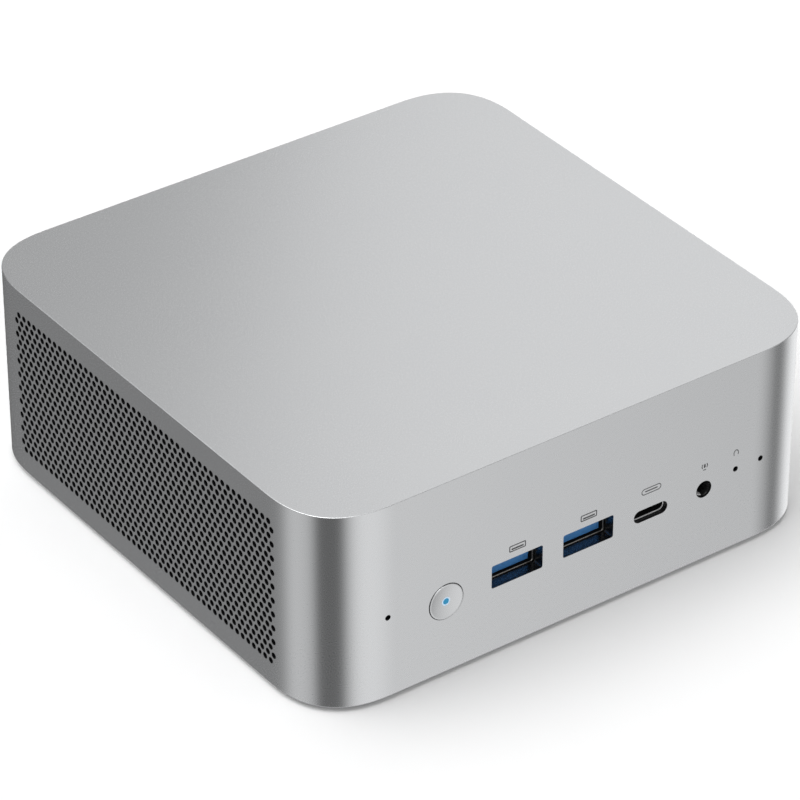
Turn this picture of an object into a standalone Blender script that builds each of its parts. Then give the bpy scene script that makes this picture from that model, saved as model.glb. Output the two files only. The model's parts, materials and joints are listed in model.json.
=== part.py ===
"""Square desktop mini computer, built as the pieces it comes apart into.

The model is in metres, +Z up, with its front towards -Y. The origin lies on the desk, under the
middle of the case. All dimensions are written in millimetres, with heights counted from the bottom
edge of the case, and point() turns them into metres.
"""
import math

import bmesh
import bpy
from mathutils import Vector

MM = 0.001
GAP = 0.3                      # clearance kept between neighbouring pieces

# Case
CASE_WIDTH = 135.0
CASE_DEPTH = 132.9
CASE_HEIGHT = 48.6
CORNER_RADIUS = 19.6
CORNER_POWER = 2.59            # 2 would be a circular corner
CORNER_STEPS = 10
EDGE_CHAMFER = 0.3
WALL = 2.7                     # walls beside and above the board
LIP_WALL = 2.0                 # walls below the board, where the base cover sits
ROOF = 2.0
FOOT_RISE = 1.2
FRONT = -CASE_DEPTH / 2
BACK = CASE_DEPTH / 2
FRONT_INSIDE = FRONT + WALL
PILLAR_X = 52.6                # the corners are solid beyond these two distances
PILLAR_Y = 50.2

# Board
BOARD_BOTTOM = 14.0
BOARD_TOP = 15.6
BOARD_HALF = 61.0
BOARD_CORNER = 9.0
POST_X = 56.0
POST_Y = 54.3
POST_RADIUS = 3.3
POST_HOLE = 1.6

# Base
COVER_THICKNESS = 2.2
FOOT_X = 44.0
FOOT_Y = 42.0
FOOT_RADIUS = 7.0
FOOT_RECESS = 0.8
FOOT_BEVEL = 0.4
SCREW_HEAD_RADIUS = 2.6
SCREW_HEAD = (0.2, 1.0)        # lowest and highest level of the head
SCREW_SHANK_RADIUS = 1.2
SCREW_END = 8.0
STUD_END = 21.0                # the posts' studs reach through the board into the corner pillars
INTAKE_SLOTS = 13
INTAKE_PITCH = 5.0
INTAKE_SLOT = (2.2, 24.0)
INTAKE_Y = 15.0                # the two rows of intake slots lie this far from the middle
CORNERS = (("front_left", -1, -1), ("front_right", 1, -1), ("rear_left", -1, 1), ("rear_right", 1, 1))

# Side vents
VENT_ROWS = 5
VENT_COLUMNS = 8
VENT_ROW_PITCH = 8.0
VENT_COLUMN_PITCH = 12.0
VENT_MIDDLE = 24.2
VENT_LENGTH = 9.0
VENT_SLOT = 3.0

# Front controls and ports
BUTTON_X = -35.1
BUTTON_Z = 18.35
BUTTON_RADIUS = 4.2
BUTTON_HOLE = 4.5
BUTTON_FLANGE = 5.4
LENS_RADIUS = 0.75
LENS_HOLE = 1.05
LENS_LENGTH = 2.0
BUTTON_STEM = 2.0
PLUNGER_RADIUS = 1.5
PRESS = 0.5                    # travel of the power button
MIC_X = 50.1
PINHOLE_Z = 20.55
PINHOLE_RADIUS = 0.7
RESET_X = 43.05
RESET_RADIUS = 0.9
RESET_TRAVEL = 0.25
USB_A_MOUTH = (13.5, 5.8)
USB_A_SHELL = (13.9, 6.3)
USB_A_POCKET = (12.5, 5.12)
USB_A_TONGUE_SIZE = (11.1, 1.84)
USB_A_TONGUE_LENGTH = 9.1
USB_A_Z = 19.36
USB_A_TONGUE = 0.89            # tongues stand this far off the middle; the front ports are mounted inverted
USB_A_FRONT_X = {"left": -16.45, "right": 2.56}
USB_C_MOUTH = (9.2, 3.06)
USB_C_SHELL = (9.6, 3.7)
USB_C_POCKET = (8.34, 2.56)
USB_C_TONGUE_SIZE = (6.7, 0.7)
USB_C_TONGUE_LENGTH = 5.1
USB_C_Z = 18.7
USB_C_FRONT_X = 19.55
AUDIO_X = 34.27
AUDIO_Z = 18.73
AUDIO_MOUTH = 2.1
AUDIO_BORE = 1.85
PORT_FLOOR = 4.0               # solid part behind every connector's pocket

# Rear panel and its ports
PANEL_HALF = 50.0
PANEL_LOW = 12.8
PANEL_HIGH = 44.7
PANEL_FLANGE = 1.6             # thickness of the flange behind the panel's face
PANEL_OVERLAP = 1.7            # the flange reaches this far beyond the face
LOCK_SLOT = (7.0, 3.0)
LOCK_SPOT = (40.0, 6.4)
PORT_FRONT = BACK - 1.0        # rear connectors end inside the panel's outer face
REAR_TONGUE_RECESS = 1.6
DC_X = 42.4
DC_Z = 21.5
DC_RADIUS = 4.4
DC_BODY_RADIUS = 5.0
DC_BORE = 3.2
DC_BORE_DEPTH = 9.5
DC_PIN = 1.0
DC_PIN_RECESS = 1.8
USB_C_REAR_X = 30.8
HDMI_X = {"left": 16.0, "right": -2.6}
HDMI_Z = 19.1
HDMI_SHELL = (15.2, 6.2)
HDMI_TONGUE_SIZE = (10.4, 1.2)
NETWORK_X = -21.4
NETWORK_Z = 22.7
NETWORK_SHELL = (16.0, 13.5)
USB_STACK_X = -39.6
USB_STACK_Z = 23.9
USB_STACK_SHELL = (14.4, 16.0)
USB_STACK_OFFSET = 4.2
EXHAUST_SLOTS = 17
EXHAUST_PITCH = 5.2
EXHAUST_SLOT = (2.6, 8.6)
EXHAUST_Z = 38.6

# Cooling
FAN_Y = -6.0
FAN_BOTTOM = 33.0
FAN_TOP = 45.0
FAN_HALF = 37.0
FAN_BORE = 30.5
FAN_INLET = 20.0
FAN_WALL = 1.0
BLADE_COUNT = 19
BLADE_TIP = 28.0
BLADE_SLANT = 0.35             # angle between a blade's root and its tip
HUB_RADIUS = 12.0
AXLE_RADIUS = 1.5
FIN_COUNT = 18
FIN_PITCH = 4.0
FIN_THICKNESS = 1.0
FIN_LEVELS = (34.5, 36.0, 45.0)   # underside and top of the fins' plate, and their tips
FIN_Y = (36.0, 60.0)
PIPE_RADIUS = 2.0
# Middle line of the right heat pipe; the left one mirrors it.
PIPE_ROUTE = ((8.0, -20.0, 22.8), (8.0, 8.0, 22.8), (9.0, 26.0, 24.2), (12.0, 37.0, 28.8),
              (18.0, 42.6, 31.6), (38.0, 43.0, 31.8))

# name: (colour, roughness, metallic)
FINISHES = {
    "aluminium": ((0.78, 0.79, 0.80), 0.38, 1.0),
    "black_plastic": ((0.03, 0.03, 0.032), 0.5, 0.0),
    "rubber": ((0.025, 0.025, 0.025), 0.85, 0.0),
    "steel": ((0.62, 0.62, 0.63), 0.3, 1.0),
    "brass": ((0.75, 0.58, 0.28), 0.35, 1.0),
    "copper": ((0.72, 0.42, 0.27), 0.35, 1.0),
    "circuit_board": ((0.02, 0.05, 0.03), 0.45, 0.0),
    "silicon": ((0.10, 0.11, 0.13), 0.2, 0.0),
    "port_blue": ((0.05, 0.25, 0.75), 0.4, 0.0),
    "light_blue": ((0.25, 0.55, 1.0), 0.3, 0.0),
}


def point(across, up, along, axis):
    """Turn a drawing's two coordinates and its distance along an axis into metres."""
    order = {"X": (along, across, up), "Y": (across, along, up), "Z": (across, up, along)}
    return Vector(order[axis]) * MM


def widened(size):
    """A width and height with a gap added on every side."""
    return size[0] + 2 * GAP, size[1] + 2 * GAP


def rectangle(width, height, middle=(0.0, 0.0)):
    """Outline of a rectangle."""
    x, y = middle
    return [(x + i * width / 2, y + j * height / 2) for i, j in ((-1, -1), (1, -1), (1, 1), (-1, 1))]


def circle(radius, sides, middle=(0.0, 0.0)):
    """Outline of a circle."""
    x, y = middle
    turns = [2 * math.pi * (i + 0.5) / sides for i in range(sides)]
    return [(x + radius * math.cos(turn), y + radius * math.sin(turn)) for turn in turns]


def obround(width, height, middle=(0.0, 0.0), steps=5):
    """Outline of a slot with round ends, lying on its long side."""
    x, y = middle
    radius = height / 2
    outline = []
    for side in (1, -1):
        for i in range(steps + 1):
            turn = math.pi * (i / steps - 0.5 * side)
            outline.append((x + side * (width / 2 - radius) + radius * math.cos(turn),
                            y + radius * math.sin(turn)))
    return outline


def case_outline(inset):
    """Plan outline of the case drawn in by inset: straight sides joined by squarish round corners."""
    radius = CORNER_RADIUS - inset
    reach_x = CASE_WIDTH / 2 - inset - radius
    reach_y = CASE_DEPTH / 2 - inset - radius
    outline = []
    for quarter, (side_x, side_y) in enumerate(((1, 1), (-1, 1), (-1, -1), (1, -1))):
        for step in range(CORNER_STEPS + 1):
            turn = (quarter + step / CORNER_STEPS) * math.pi / 2
            cosine, sine = math.cos(turn), math.sin(turn)
            swell = (abs(cosine) ** CORNER_POWER + abs(sine) ** CORNER_POWER) ** (-1 / CORNER_POWER)
            outline.append((side_x * reach_x + radius * swell * cosine,
                            side_y * reach_y + radius * swell * sine))
    return outline


def notched_outline(half_x, half_y, corner_x, corner_y):
    """Outline of a rectangle with a rectangular notch at each corner."""
    outline = []
    for side_x, side_y in ((1, 1), (-1, 1), (-1, -1), (1, -1)):
        notch = [(half_x, corner_y), (corner_x, corner_y), (corner_x, half_y)]
        if side_x * side_y < 0:
            notch.reverse()
        outline += [(side_x * x, side_y * y) for x, y in notch]
    return outline


def add_loft(mesh, rings, axis):
    """Skin a closed body over outlines with equal numbers of points, each at its own distance."""
    loops = [[mesh.verts.new(point(*spot, along, axis)) for spot in outline] for outline, along in rings]
    mesh.faces.new(loops[0])
    mesh.faces.new(loops[-1])
    for lower, upper in zip(loops, loops[1:]):
        for i in range(len(lower)):
            j = (i + 1) % len(lower)
            mesh.faces.new((lower[i], lower[j], upper[j], upper[i]))


def add_prism(mesh, outline, low, high, axis):
    """Extrude an outline between two distances along an axis."""
    add_loft(mesh, [(outline, low), (outline, high)], axis)


def make_material(finish):
    """Principled material for one of the finishes."""
    material = bpy.data.materials.get(finish)
    if material:
        return material
    colour, roughness, metallic = FINISHES[finish]
    material = bpy.data.materials.new(finish)
    material.use_nodes = True
    shader = material.node_tree.nodes["Principled BSDF"]
    shader.inputs["Base Color"].default_value = (*colour, 1.0)
    shader.inputs["Roughness"].default_value = roughness
    shader.inputs["Metallic"].default_value = metallic
    return material


def start():
    """A new empty mesh to add shapes to."""
    return bmesh.new()


def place(name, mesh, finish, spot=(0.0, 0.0, 0.0), smooth=False):
    """Finish a mesh as an object standing at a spot given in millimetres."""
    bmesh.ops.recalc_face_normals(mesh, faces=mesh.faces)
    data = bpy.data.meshes.new(name)
    mesh.to_mesh(data)
    mesh.free()
    data.materials.append(make_material(finish))
    if smooth:
        data.shade_smooth()
        data.set_sharp_from_angle(angle=math.radians(30))
    piece = bpy.data.objects.new(name, data)
    bpy.context.scene.collection.objects.link(piece)
    piece.location = Vector(spot) * MM
    piece.parent = bpy.data.objects["mini_pc"]
    return piece


def cut(piece, mesh):
    """Take a cutter's shapes, given in the piece's own coordinates, out of the piece."""
    cutter = place(f"{piece.name}_cutter_{len(piece.modifiers)}", mesh, "rubber")
    cutter.location = piece.location
    cutter.hide_render = True
    cutter.display_type = "WIRE"
    boolean = piece.modifiers.new("cut", "BOOLEAN")
    boolean.operation = "DIFFERENCE"
    boolean.solver = "EXACT"
    boolean.object = cutter


def make_block(name, size, finish, spot):
    """Plain rectangular piece whose middle is at a spot."""
    mesh = start()
    width, depth, height = size
    add_prism(mesh, rectangle(width, depth), -height / 2, height / 2, "Z")
    return place(name, mesh, finish, spot)


def make_housing():
    """Case: walls, roof, solid corner pillars, vented sides and the front with its openings."""
    mesh = start()
    add_loft(mesh, [(case_outline(EDGE_CHAMFER), 0), (case_outline(0), EDGE_CHAMFER),
                    (case_outline(0), CASE_HEIGHT - EDGE_CHAMFER),
                    (case_outline(EDGE_CHAMFER), CASE_HEIGHT)], "Z")
    housing = place("housing_shell", mesh, "aluminium", smooth=True)

    lower = start()
    add_prism(lower, case_outline(LIP_WALL), -1, BOARD_TOP + GAP, "Z")
    cut(housing, lower)

    upper = start()
    hollow = notched_outline(CASE_WIDTH / 2 - WALL, CASE_DEPTH / 2 - WALL, PILLAR_X, PILLAR_Y)
    add_prism(upper, hollow, BOARD_BOTTOM, CASE_HEIGHT - ROOF, "Z")
    cut(housing, upper)

    vents = start()
    for row in range(VENT_ROWS):
        for column in range(VENT_COLUMNS):
            y = (column - (VENT_COLUMNS - 1) / 2) * VENT_COLUMN_PITCH
            z = VENT_MIDDLE + (row - (VENT_ROWS - 1) / 2) * VENT_ROW_PITCH
            add_prism(vents, rectangle(VENT_LENGTH, VENT_SLOT, (y, z)), -CASE_WIDTH, CASE_WIDTH, "X")
    cut(housing, vents)

    near, far = FRONT - 5, FRONT_INSIDE + 2
    openings = start()
    add_prism(openings, circle(BUTTON_HOLE, 32, (BUTTON_X, BUTTON_Z)), near, far, "Y")
    for x in USB_A_FRONT_X.values():
        add_prism(openings, rectangle(*USB_A_MOUTH, (x, USB_A_Z)), near, far, "Y")
    add_prism(openings, obround(*USB_C_MOUTH, (USB_C_FRONT_X, USB_C_Z)), near, far, "Y")
    add_prism(openings, circle(AUDIO_MOUTH, 20, (AUDIO_X, AUDIO_Z)), near, far, "Y")
    for x in (-MIC_X, MIC_X, RESET_X):
        add_prism(openings, circle(PINHOLE_RADIUS, 8, (x, PINHOLE_Z)), near, far, "Y")
    cut(housing, openings)

    rear = start()
    middle = (0, (PANEL_LOW + PANEL_HIGH) / 2)
    opening = widened((2 * PANEL_HALF, PANEL_HIGH - PANEL_LOW))
    add_prism(rear, rectangle(*opening, middle), BACK - 8, BACK + 5, "Y")
    add_prism(rear, rectangle(*LOCK_SLOT, LOCK_SPOT), BACK - 8, BACK + 5, "Y")
    cut(housing, rear)

    threads = start()
    for _, side_x, side_y in CORNERS:
        add_prism(threads, circle(POST_HOLE, 10, (side_x * POST_X, side_y * POST_Y)), 10, STUD_END + 1, "Z")
    cut(housing, threads)


def make_rear_panel():
    """Port plate: an outer face that fills the case's rear opening, and a wider flange behind it."""
    middle = (0, (PANEL_LOW + PANEL_HIGH) / 2)
    height = PANEL_HIGH - PANEL_LOW
    face = rectangle(2 * PANEL_HALF, height, middle)
    flange = rectangle(2 * (PANEL_HALF + PANEL_OVERLAP), height + 2 * PANEL_OVERLAP, middle)
    step = BACK - WALL - GAP
    mesh = start()
    add_loft(mesh, [(flange, step - PANEL_FLANGE), (flange, step), (face, step), (face, BACK)], "Y")
    panel = place("rear_panel", mesh, "black_plastic")

    near, far = BACK - 8, BACK + 5
    openings = start()
    add_prism(openings, circle(DC_RADIUS + GAP, 24, (DC_X, DC_Z)), near, far, "Y")
    add_prism(openings, obround(*widened(USB_C_SHELL), (USB_C_REAR_X, USB_C_Z)), near, far, "Y")
    for x in HDMI_X.values():
        add_prism(openings, rectangle(*widened(HDMI_SHELL), (x, HDMI_Z)), near, far, "Y")
    add_prism(openings, rectangle(*widened(NETWORK_SHELL), (NETWORK_X, NETWORK_Z)), near, far, "Y")
    add_prism(openings, rectangle(*widened(USB_STACK_SHELL), (USB_STACK_X, USB_STACK_Z)), near, far, "Y")
    for slot in range(EXHAUST_SLOTS):
        x = (slot - (EXHAUST_SLOTS - 1) / 2) * EXHAUST_PITCH
        add_prism(openings, rectangle(*EXHAUST_SLOT, (x, EXHAUST_Z)), near, far, "Y")
    cut(panel, openings)


def make_base_cover():
    """Bottom plate with foot recesses, sunk screw holes and intake slots."""
    mesh = start()
    add_prism(mesh, case_outline(LIP_WALL + GAP), 0, COVER_THICKNESS, "Z")
    cover = place("base_cover", mesh, "black_plastic")

    recesses = start()
    for _, side_x, side_y in CORNERS:
        foot = (side_x * FOOT_X, side_y * FOOT_Y)
        screw = (side_x * POST_X, side_y * POST_Y)
        add_prism(recesses, circle(FOOT_RADIUS + GAP, 24, foot), -3, FOOT_RECESS, "Z")
        add_prism(recesses, circle(SCREW_HEAD_RADIUS + GAP, 16, screw), -3, SCREW_HEAD[1] + GAP, "Z")
    cut(cover, recesses)

    openings = start()
    for _, side_x, side_y in CORNERS:
        screw = (side_x * POST_X, side_y * POST_Y)
        add_prism(openings, circle(SCREW_SHANK_RADIUS + GAP, 10, screw), -4, 6, "Z")
    for slot in range(INTAKE_SLOTS):
        x = (slot - (INTAKE_SLOTS - 1) / 2) * INTAKE_PITCH
        for y in (-INTAKE_Y, INTAKE_Y):
            add_prism(openings, rectangle(*INTAKE_SLOT, (x, y)), -4, 6, "Z")
    cut(cover, openings)


def make_corner_hardware():
    """At each corner: a rubber foot, a base screw and the brass post that the screw goes into."""
    for corner, side_x, side_y in CORNERS:
        spot = (side_x * POST_X, side_y * POST_Y, 0)
        make_foot(corner, (side_x * FOOT_X, side_y * FOOT_Y, 0))
        make_base_screw(corner, spot)
        make_corner_post(corner, spot)


def make_foot(corner, spot):
    """Round rubber foot with a bevelled edge, set into the base cover."""
    sole, side = circle(FOOT_RADIUS - FOOT_BEVEL, 24), circle(FOOT_RADIUS, 24)
    mesh = start()
    add_loft(mesh, [(sole, -FOOT_RISE), (side, FOOT_BEVEL - FOOT_RISE), (side, FOOT_RECESS - GAP)], "Z")
    place(f"foot_{corner}", mesh, "rubber", spot, smooth=True)


def make_base_screw(corner, spot):
    """Screw with a flat head, sunk into the base cover."""
    head, shank = circle(SCREW_HEAD_RADIUS, 16), circle(SCREW_SHANK_RADIUS, 16)
    low, high = SCREW_HEAD
    mesh = start()
    add_loft(mesh, [(head, low), (head, high), (shank, high), (shank, SCREW_END)], "Z")
    place(f"base_screw_{corner}", mesh, "steel", spot, smooth=True)


def make_corner_post(corner, spot):
    """Six-sided post with a threaded bore below and a stud above."""
    body, stud = circle(POST_RADIUS, 6), circle(POST_HOLE - GAP, 6)
    low, high = COVER_THICKNESS + GAP, BOARD_BOTTOM - GAP
    mesh = start()
    add_loft(mesh, [(body, low), (body, high), (stud, high), (stud, STUD_END)], "Z")
    post = place(f"corner_post_{corner}", mesh, "brass", spot)
    thread = start()
    add_prism(thread, circle(SCREW_SHANK_RADIUS + GAP, 10), 0, SCREW_END + 1, "Z")
    cut(post, thread)


def make_board():
    """Motherboard: cut corners, and a hole for each corner post's stud."""
    outline = []
    for side_x, side_y in ((1, 1), (-1, 1), (-1, -1), (1, -1)):
        corner = [(BOARD_HALF, BOARD_HALF - BOARD_CORNER), (BOARD_HALF - BOARD_CORNER, BOARD_HALF)]
        if side_x * side_y < 0:
            corner.reverse()
        outline += [(side_x * x, side_y * y) for x, y in corner]
    mesh = start()
    add_prism(mesh, outline, BOARD_BOTTOM, BOARD_TOP, "Z")
    board = place("motherboard", mesh, "circuit_board")
    holes = start()
    for _, side_x, side_y in CORNERS:
        add_prism(holes, circle(POST_HOLE, 10, (side_x * POST_X, side_y * POST_Y)), 10, 20, "Z")
    cut(board, holes)


def make_power_button():
    """Power button, its light pipe, and the tact switch that it presses."""
    spot = (BUTTON_X, FRONT, BUTTON_Z)
    rim = WALL + GAP
    flange_end, stem_end = rim + 1.0, rim + 4.0
    face, cap = circle(BUTTON_RADIUS - EDGE_CHAMFER, 32), circle(BUTTON_RADIUS, 32)
    flange, stem = circle(BUTTON_FLANGE, 32), circle(BUTTON_STEM, 32)
    mesh = start()
    add_loft(mesh, [(face, 0), (cap, EDGE_CHAMFER), (cap, rim), (flange, rim), (flange, flange_end),
                    (stem, flange_end), (stem, stem_end)], "Y")
    button = place("power_button", mesh, "aluminium", spot, smooth=True)
    bore = start()
    add_prism(bore, circle(LENS_HOLE, 12), -1, LENS_LENGTH + GAP, "Y")
    cut(button, bore)

    lens = start()
    add_prism(lens, circle(LENS_RADIUS, 12), 0, LENS_LENGTH, "Y")
    place("power_lens", lens, "light_blue", spot, smooth=True)

    plunger = start()
    plunger_end, switch_start = stem_end + 2.3, stem_end + 1.2
    add_prism(plunger, circle(PLUNGER_RADIUS, 12), stem_end + GAP, plunger_end, "Y")
    place("power_plunger", plunger, "black_plastic", spot, smooth=True)

    depth = plunger_end - switch_start + PRESS + GAP
    make_tact_switch("power_switch", spot, switch_start, 6.0, PLUNGER_RADIUS, depth)


def make_tact_switch(name, spot, start_y, width, plunger_radius, depth):
    """Switch body with an open bore for its plunger."""
    mesh = start()
    add_prism(mesh, rectangle(width, 0.76 * width), start_y, start_y + depth + 1.0, "Y")
    switch = place(name, mesh, "black_plastic", spot)
    bore = start()
    add_prism(bore, circle(plunger_radius + GAP, 12), start_y - 1, start_y + depth, "Y")
    cut(switch, bore)


def make_reset_switch():
    """Small recessed switch behind the reset pinhole, with the plunger that a pin presses."""
    spot = (RESET_X, FRONT, PINHOLE_Z)
    plunger_end, switch_start = WALL + 2.2, WALL + 1.3
    mesh = start()
    add_prism(mesh, circle(RESET_RADIUS, 12), WALL + GAP, plunger_end, "Y")
    place("reset_plunger", mesh, "black_plastic", spot, smooth=True)
    depth = plunger_end - switch_start + RESET_TRAVEL + GAP
    make_tact_switch("reset_switch", spot, switch_start, 4.4, RESET_RADIUS, depth)


def make_port(name, spot, facing, outer, pockets, depth, finish="steel"):
    """Connector shell: a solid outline with pockets opening at its front, each given as an outline."""
    mesh = start()
    add_prism(mesh, outer, 0, facing * depth, "Y")
    port = place(name, mesh, finish, spot)
    hollow = start()
    for outline in pockets:
        add_prism(hollow, outline, -facing, facing * (depth - PORT_FLOOR), "Y")
    cut(port, hollow)


def make_tongue(name, spot, facing, outline, recess, length, finish="black_plastic"):
    """Contact carrier inside a connector shell."""
    mesh = start()
    add_prism(mesh, outline, facing * recess, facing * (recess + length), "Y")
    place(name, mesh, finish, spot)


def make_usb_c(place_name, spot, facing):
    """USB-C connector: an obround shell and a thin tongue."""
    shell, pocket = obround(*USB_C_SHELL), obround(*USB_C_POCKET)
    make_port(f"usb_c_{place_name}", spot, facing, shell, [pocket], 10.0)
    tongue = rectangle(*USB_C_TONGUE_SIZE)
    make_tongue(f"usb_c_tongue_{place_name}", spot, facing, tongue, 0.6, USB_C_TONGUE_LENGTH)


def make_front_ports():
    """Two USB-A ports, a USB-C port, the audio jack and the two microphones."""
    mouth_y = FRONT_INSIDE + GAP
    for side, x in USB_A_FRONT_X.items():
        spot = (x, mouth_y, USB_A_Z)
        shell, pocket = rectangle(*USB_A_SHELL), rectangle(*USB_A_POCKET)
        make_port(f"usb_a_front_{side}", spot, 1, shell, [pocket], 14.0)
        tongue = rectangle(*USB_A_TONGUE_SIZE, (0, -USB_A_TONGUE))
        make_tongue(f"usb_tongue_front_{side}", spot, 1, tongue, 0.4, USB_A_TONGUE_LENGTH, "port_blue")
    make_usb_c("front", (USB_C_FRONT_X, mouth_y, USB_C_Z), 1)
    spot = (AUDIO_X, mouth_y, AUDIO_Z)
    body, bore = rectangle(6.4, 5.4), circle(AUDIO_BORE, 16)
    make_port("audio_jack", spot, 1, body, [bore], 16.0, "black_plastic")
    for side, x in (("left", -MIC_X), ("right", MIC_X)):
        make_block(f"mic_{side}", (3.0, 1.2, 3.6), "steel", (x, mouth_y + 0.6, PINHOLE_Z))


def network_pocket():
    """Outline of the network port's pocket: a wide body and a narrow latch slot under it."""
    return [(-5.95, -2.6), (-3.1, -2.6), (-3.1, -4.8), (3.1, -4.8), (3.1, -2.6), (5.95, -2.6),
            (5.95, 5.0), (-5.95, 5.0)]


def hdmi_pocket():
    """Outline of a video port's pocket: a rectangle with its two lower corners cut off."""
    return [(-5.2, -2.28), (5.2, -2.28), (7.0, -0.6), (7.0, 2.28), (-7.0, 2.28), (-7.0, -0.6)]


def make_rear_ports():
    """Power inlet, USB-C, two video ports, network port and a stack of two USB-A ports."""
    make_dc_jack((DC_X, PORT_FRONT, DC_Z))
    make_usb_c("rear", (USB_C_REAR_X, PORT_FRONT, USB_C_Z), -1)
    for side, x in HDMI_X.items():
        spot = (x, PORT_FRONT, HDMI_Z)
        make_port(f"hdmi_port_{side}", spot, -1, rectangle(*HDMI_SHELL), [hdmi_pocket()], 13.0)
        tongue = rectangle(*HDMI_TONGUE_SIZE, (0, 0.5))
        make_tongue(f"hdmi_tongue_{side}", spot, -1, tongue, REAR_TONGUE_RECESS, 6.9)
    spot = (NETWORK_X, PORT_FRONT, NETWORK_Z)
    make_port("network_port", spot, -1, rectangle(*NETWORK_SHELL), [network_pocket()], 18.0)
    make_usb_stack((USB_STACK_X, PORT_FRONT, USB_STACK_Z))


def make_dc_jack(spot):
    """Barrel power inlet: round nose, wider body and a pin standing in the bore."""
    nose, body = circle(DC_RADIUS, 24), circle(DC_BODY_RADIUS, 24)
    mesh = start()
    add_loft(mesh, [(nose, 0), (nose, -5.0), (body, -5.0), (body, -13.0)], "Y")
    jack = place("dc_jack", mesh, "black_plastic", spot, smooth=True)
    hole, pin = circle(DC_BORE, 16), circle(DC_PIN, 16)
    bore = start()
    add_loft(bore, [(hole, 1.0), (hole, -DC_BORE_DEPTH), (pin, -DC_BORE_DEPTH), (pin, -DC_PIN_RECESS)], "Y")
    cut(jack, bore)


def make_usb_stack(spot):
    """Two USB-A ports, one over the other, in one shell."""
    levels = {"lower": -USB_STACK_OFFSET, "upper": USB_STACK_OFFSET}
    pockets = [rectangle(*USB_A_POCKET, (0, level)) for level in levels.values()]
    make_port("usb_a_rear", spot, -1, rectangle(*USB_STACK_SHELL), pockets, 16.0)
    for name, level in levels.items():
        name = f"usb_tongue_rear_{name}"
        tongue = rectangle(*USB_A_TONGUE_SIZE, (0, level + USB_A_TONGUE))
        make_tongue(name, spot, -1, tongue, REAR_TONGUE_RECESS, USB_A_TONGUE_LENGTH, "port_blue")


def make_cooler():
    """Processor, cold plate, two heat pipes and the fins that they reach."""
    make_block("processor", (42.0, 26.0, 1.2), "silicon", (0, -4.0, 16.5))
    make_block("cold_plate", (48.0, 44.0, 3.0), "copper", (0, -4.0, 18.9))
    for side, sign in (("left", -1), ("right", 1)):
        make_heat_pipe(f"heat_pipe_{side}", sign)
    make_fin_stack()


def smooth_route(corners, steps):
    """Points along a Catmull-Rom curve through the given corners."""
    spots = [Vector(corner) for corner in corners]
    spots = [2 * spots[0] - spots[1]] + spots + [2 * spots[-1] - spots[-2]]
    route = []
    for before, here, there, after in zip(spots, spots[1:], spots[2:], spots[3:]):
        for step in range(steps):
            t = step / steps
            route.append(0.5 * (2 * here + (there - before) * t
                                + (2 * before - 5 * here + 4 * there - after) * t ** 2
                                + (3 * here - before - 3 * there + after) * t ** 3))
    route.append(spots[-2])
    return route


def make_heat_pipe(name, sign):
    """Copper tube from the cold plate, up behind the fan, and outwards under the fins."""
    curve = bpy.data.curves.new(name, "CURVE")
    curve.dimensions = "3D"
    curve.bevel_depth = PIPE_RADIUS * MM
    curve.bevel_resolution = 2
    curve.use_fill_caps = True
    route = smooth_route(PIPE_ROUTE, 4)
    spline = curve.splines.new("POLY")
    spline.points.add(len(route) - 1)
    for spot, (x, y, z) in zip(spline.points, route):
        spot.co = (sign * x * MM, y * MM, z * MM, 1.0)
    curve.materials.append(make_material("copper"))
    pipe = bpy.data.objects.new(name, curve)
    bpy.context.scene.collection.objects.link(pipe)
    pipe.parent = bpy.data.objects["mini_pc"]


def make_fin_stack():
    """Comb of cooling fins standing on one plate, between the fan and the exhaust slots."""
    under, base, tip = FIN_LEVELS
    half = ((FIN_COUNT - 1) * FIN_PITCH + FIN_THICKNESS) / 2
    outline = [(-half, under), (half, under)]
    for index in reversed(range(FIN_COUNT)):
        left = index * FIN_PITCH - half
        right = left + FIN_THICKNESS
        outline += [(right, base), (right, tip), (left, tip), (left, base)]
    mesh = start()
    add_prism(mesh, outline, *FIN_Y, "Y")
    place("fin_stack", mesh, "aluminium")


def make_fan():
    """Radial blower: a case open below and behind, its axle, and the rotor turning on it."""
    middle = (0.0, FAN_Y)
    mesh = start()
    add_prism(mesh, rectangle(2 * FAN_HALF, 2 * FAN_HALF + 2, (0, FAN_Y + 2)), FAN_BOTTOM, FAN_TOP, "Z")
    case = place("fan_housing", mesh, "black_plastic")
    chamber = start()
    add_prism(chamber, circle(FAN_BORE, 32, middle), FAN_BOTTOM + FAN_WALL, FAN_TOP - FAN_WALL, "Z")
    cut(case, chamber)
    outlet = start()
    add_prism(outlet, rectangle(58.0, 40.0, (0, 26.0)), FAN_BOTTOM + 1.2, FAN_TOP - 1.2, "Z")
    cut(case, outlet)
    inlet = start()
    add_prism(inlet, circle(FAN_INLET, 32, middle), FAN_BOTTOM - 2, FAN_BOTTOM + 4, "Z")
    cut(case, inlet)

    axle = start()
    add_prism(axle, circle(AXLE_RADIUS, 12), 37.0, FAN_TOP - FAN_WALL - GAP, "Z")
    place("fan_axle", axle, "steel", (0, FAN_Y, 0), smooth=True)
    make_rotor()


def make_rotor():
    """Hub with straight blades set at a slant, and a blind bore from above for the axle."""
    outline = []
    for blade in range(BLADE_COUNT):
        root = 2 * math.pi * blade / BLADE_COUNT
        for radius, turn in ((HUB_RADIUS, 0.0), (BLADE_TIP, BLADE_SLANT), (BLADE_TIP, BLADE_SLANT + 0.035),
                             (HUB_RADIUS, 0.09)):
            outline.append((radius * math.cos(root + turn), radius * math.sin(root + turn)))
    mesh = start()
    add_prism(mesh, outline, 34.8, 43.0, "Z")
    rotor = place("fan_rotor", mesh, "black_plastic", (0, FAN_Y, 0))
    bore = start()
    add_prism(bore, circle(AXLE_RADIUS + GAP, 12), 36.6, 46.0, "Z")
    cut(rotor, bore)


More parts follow.
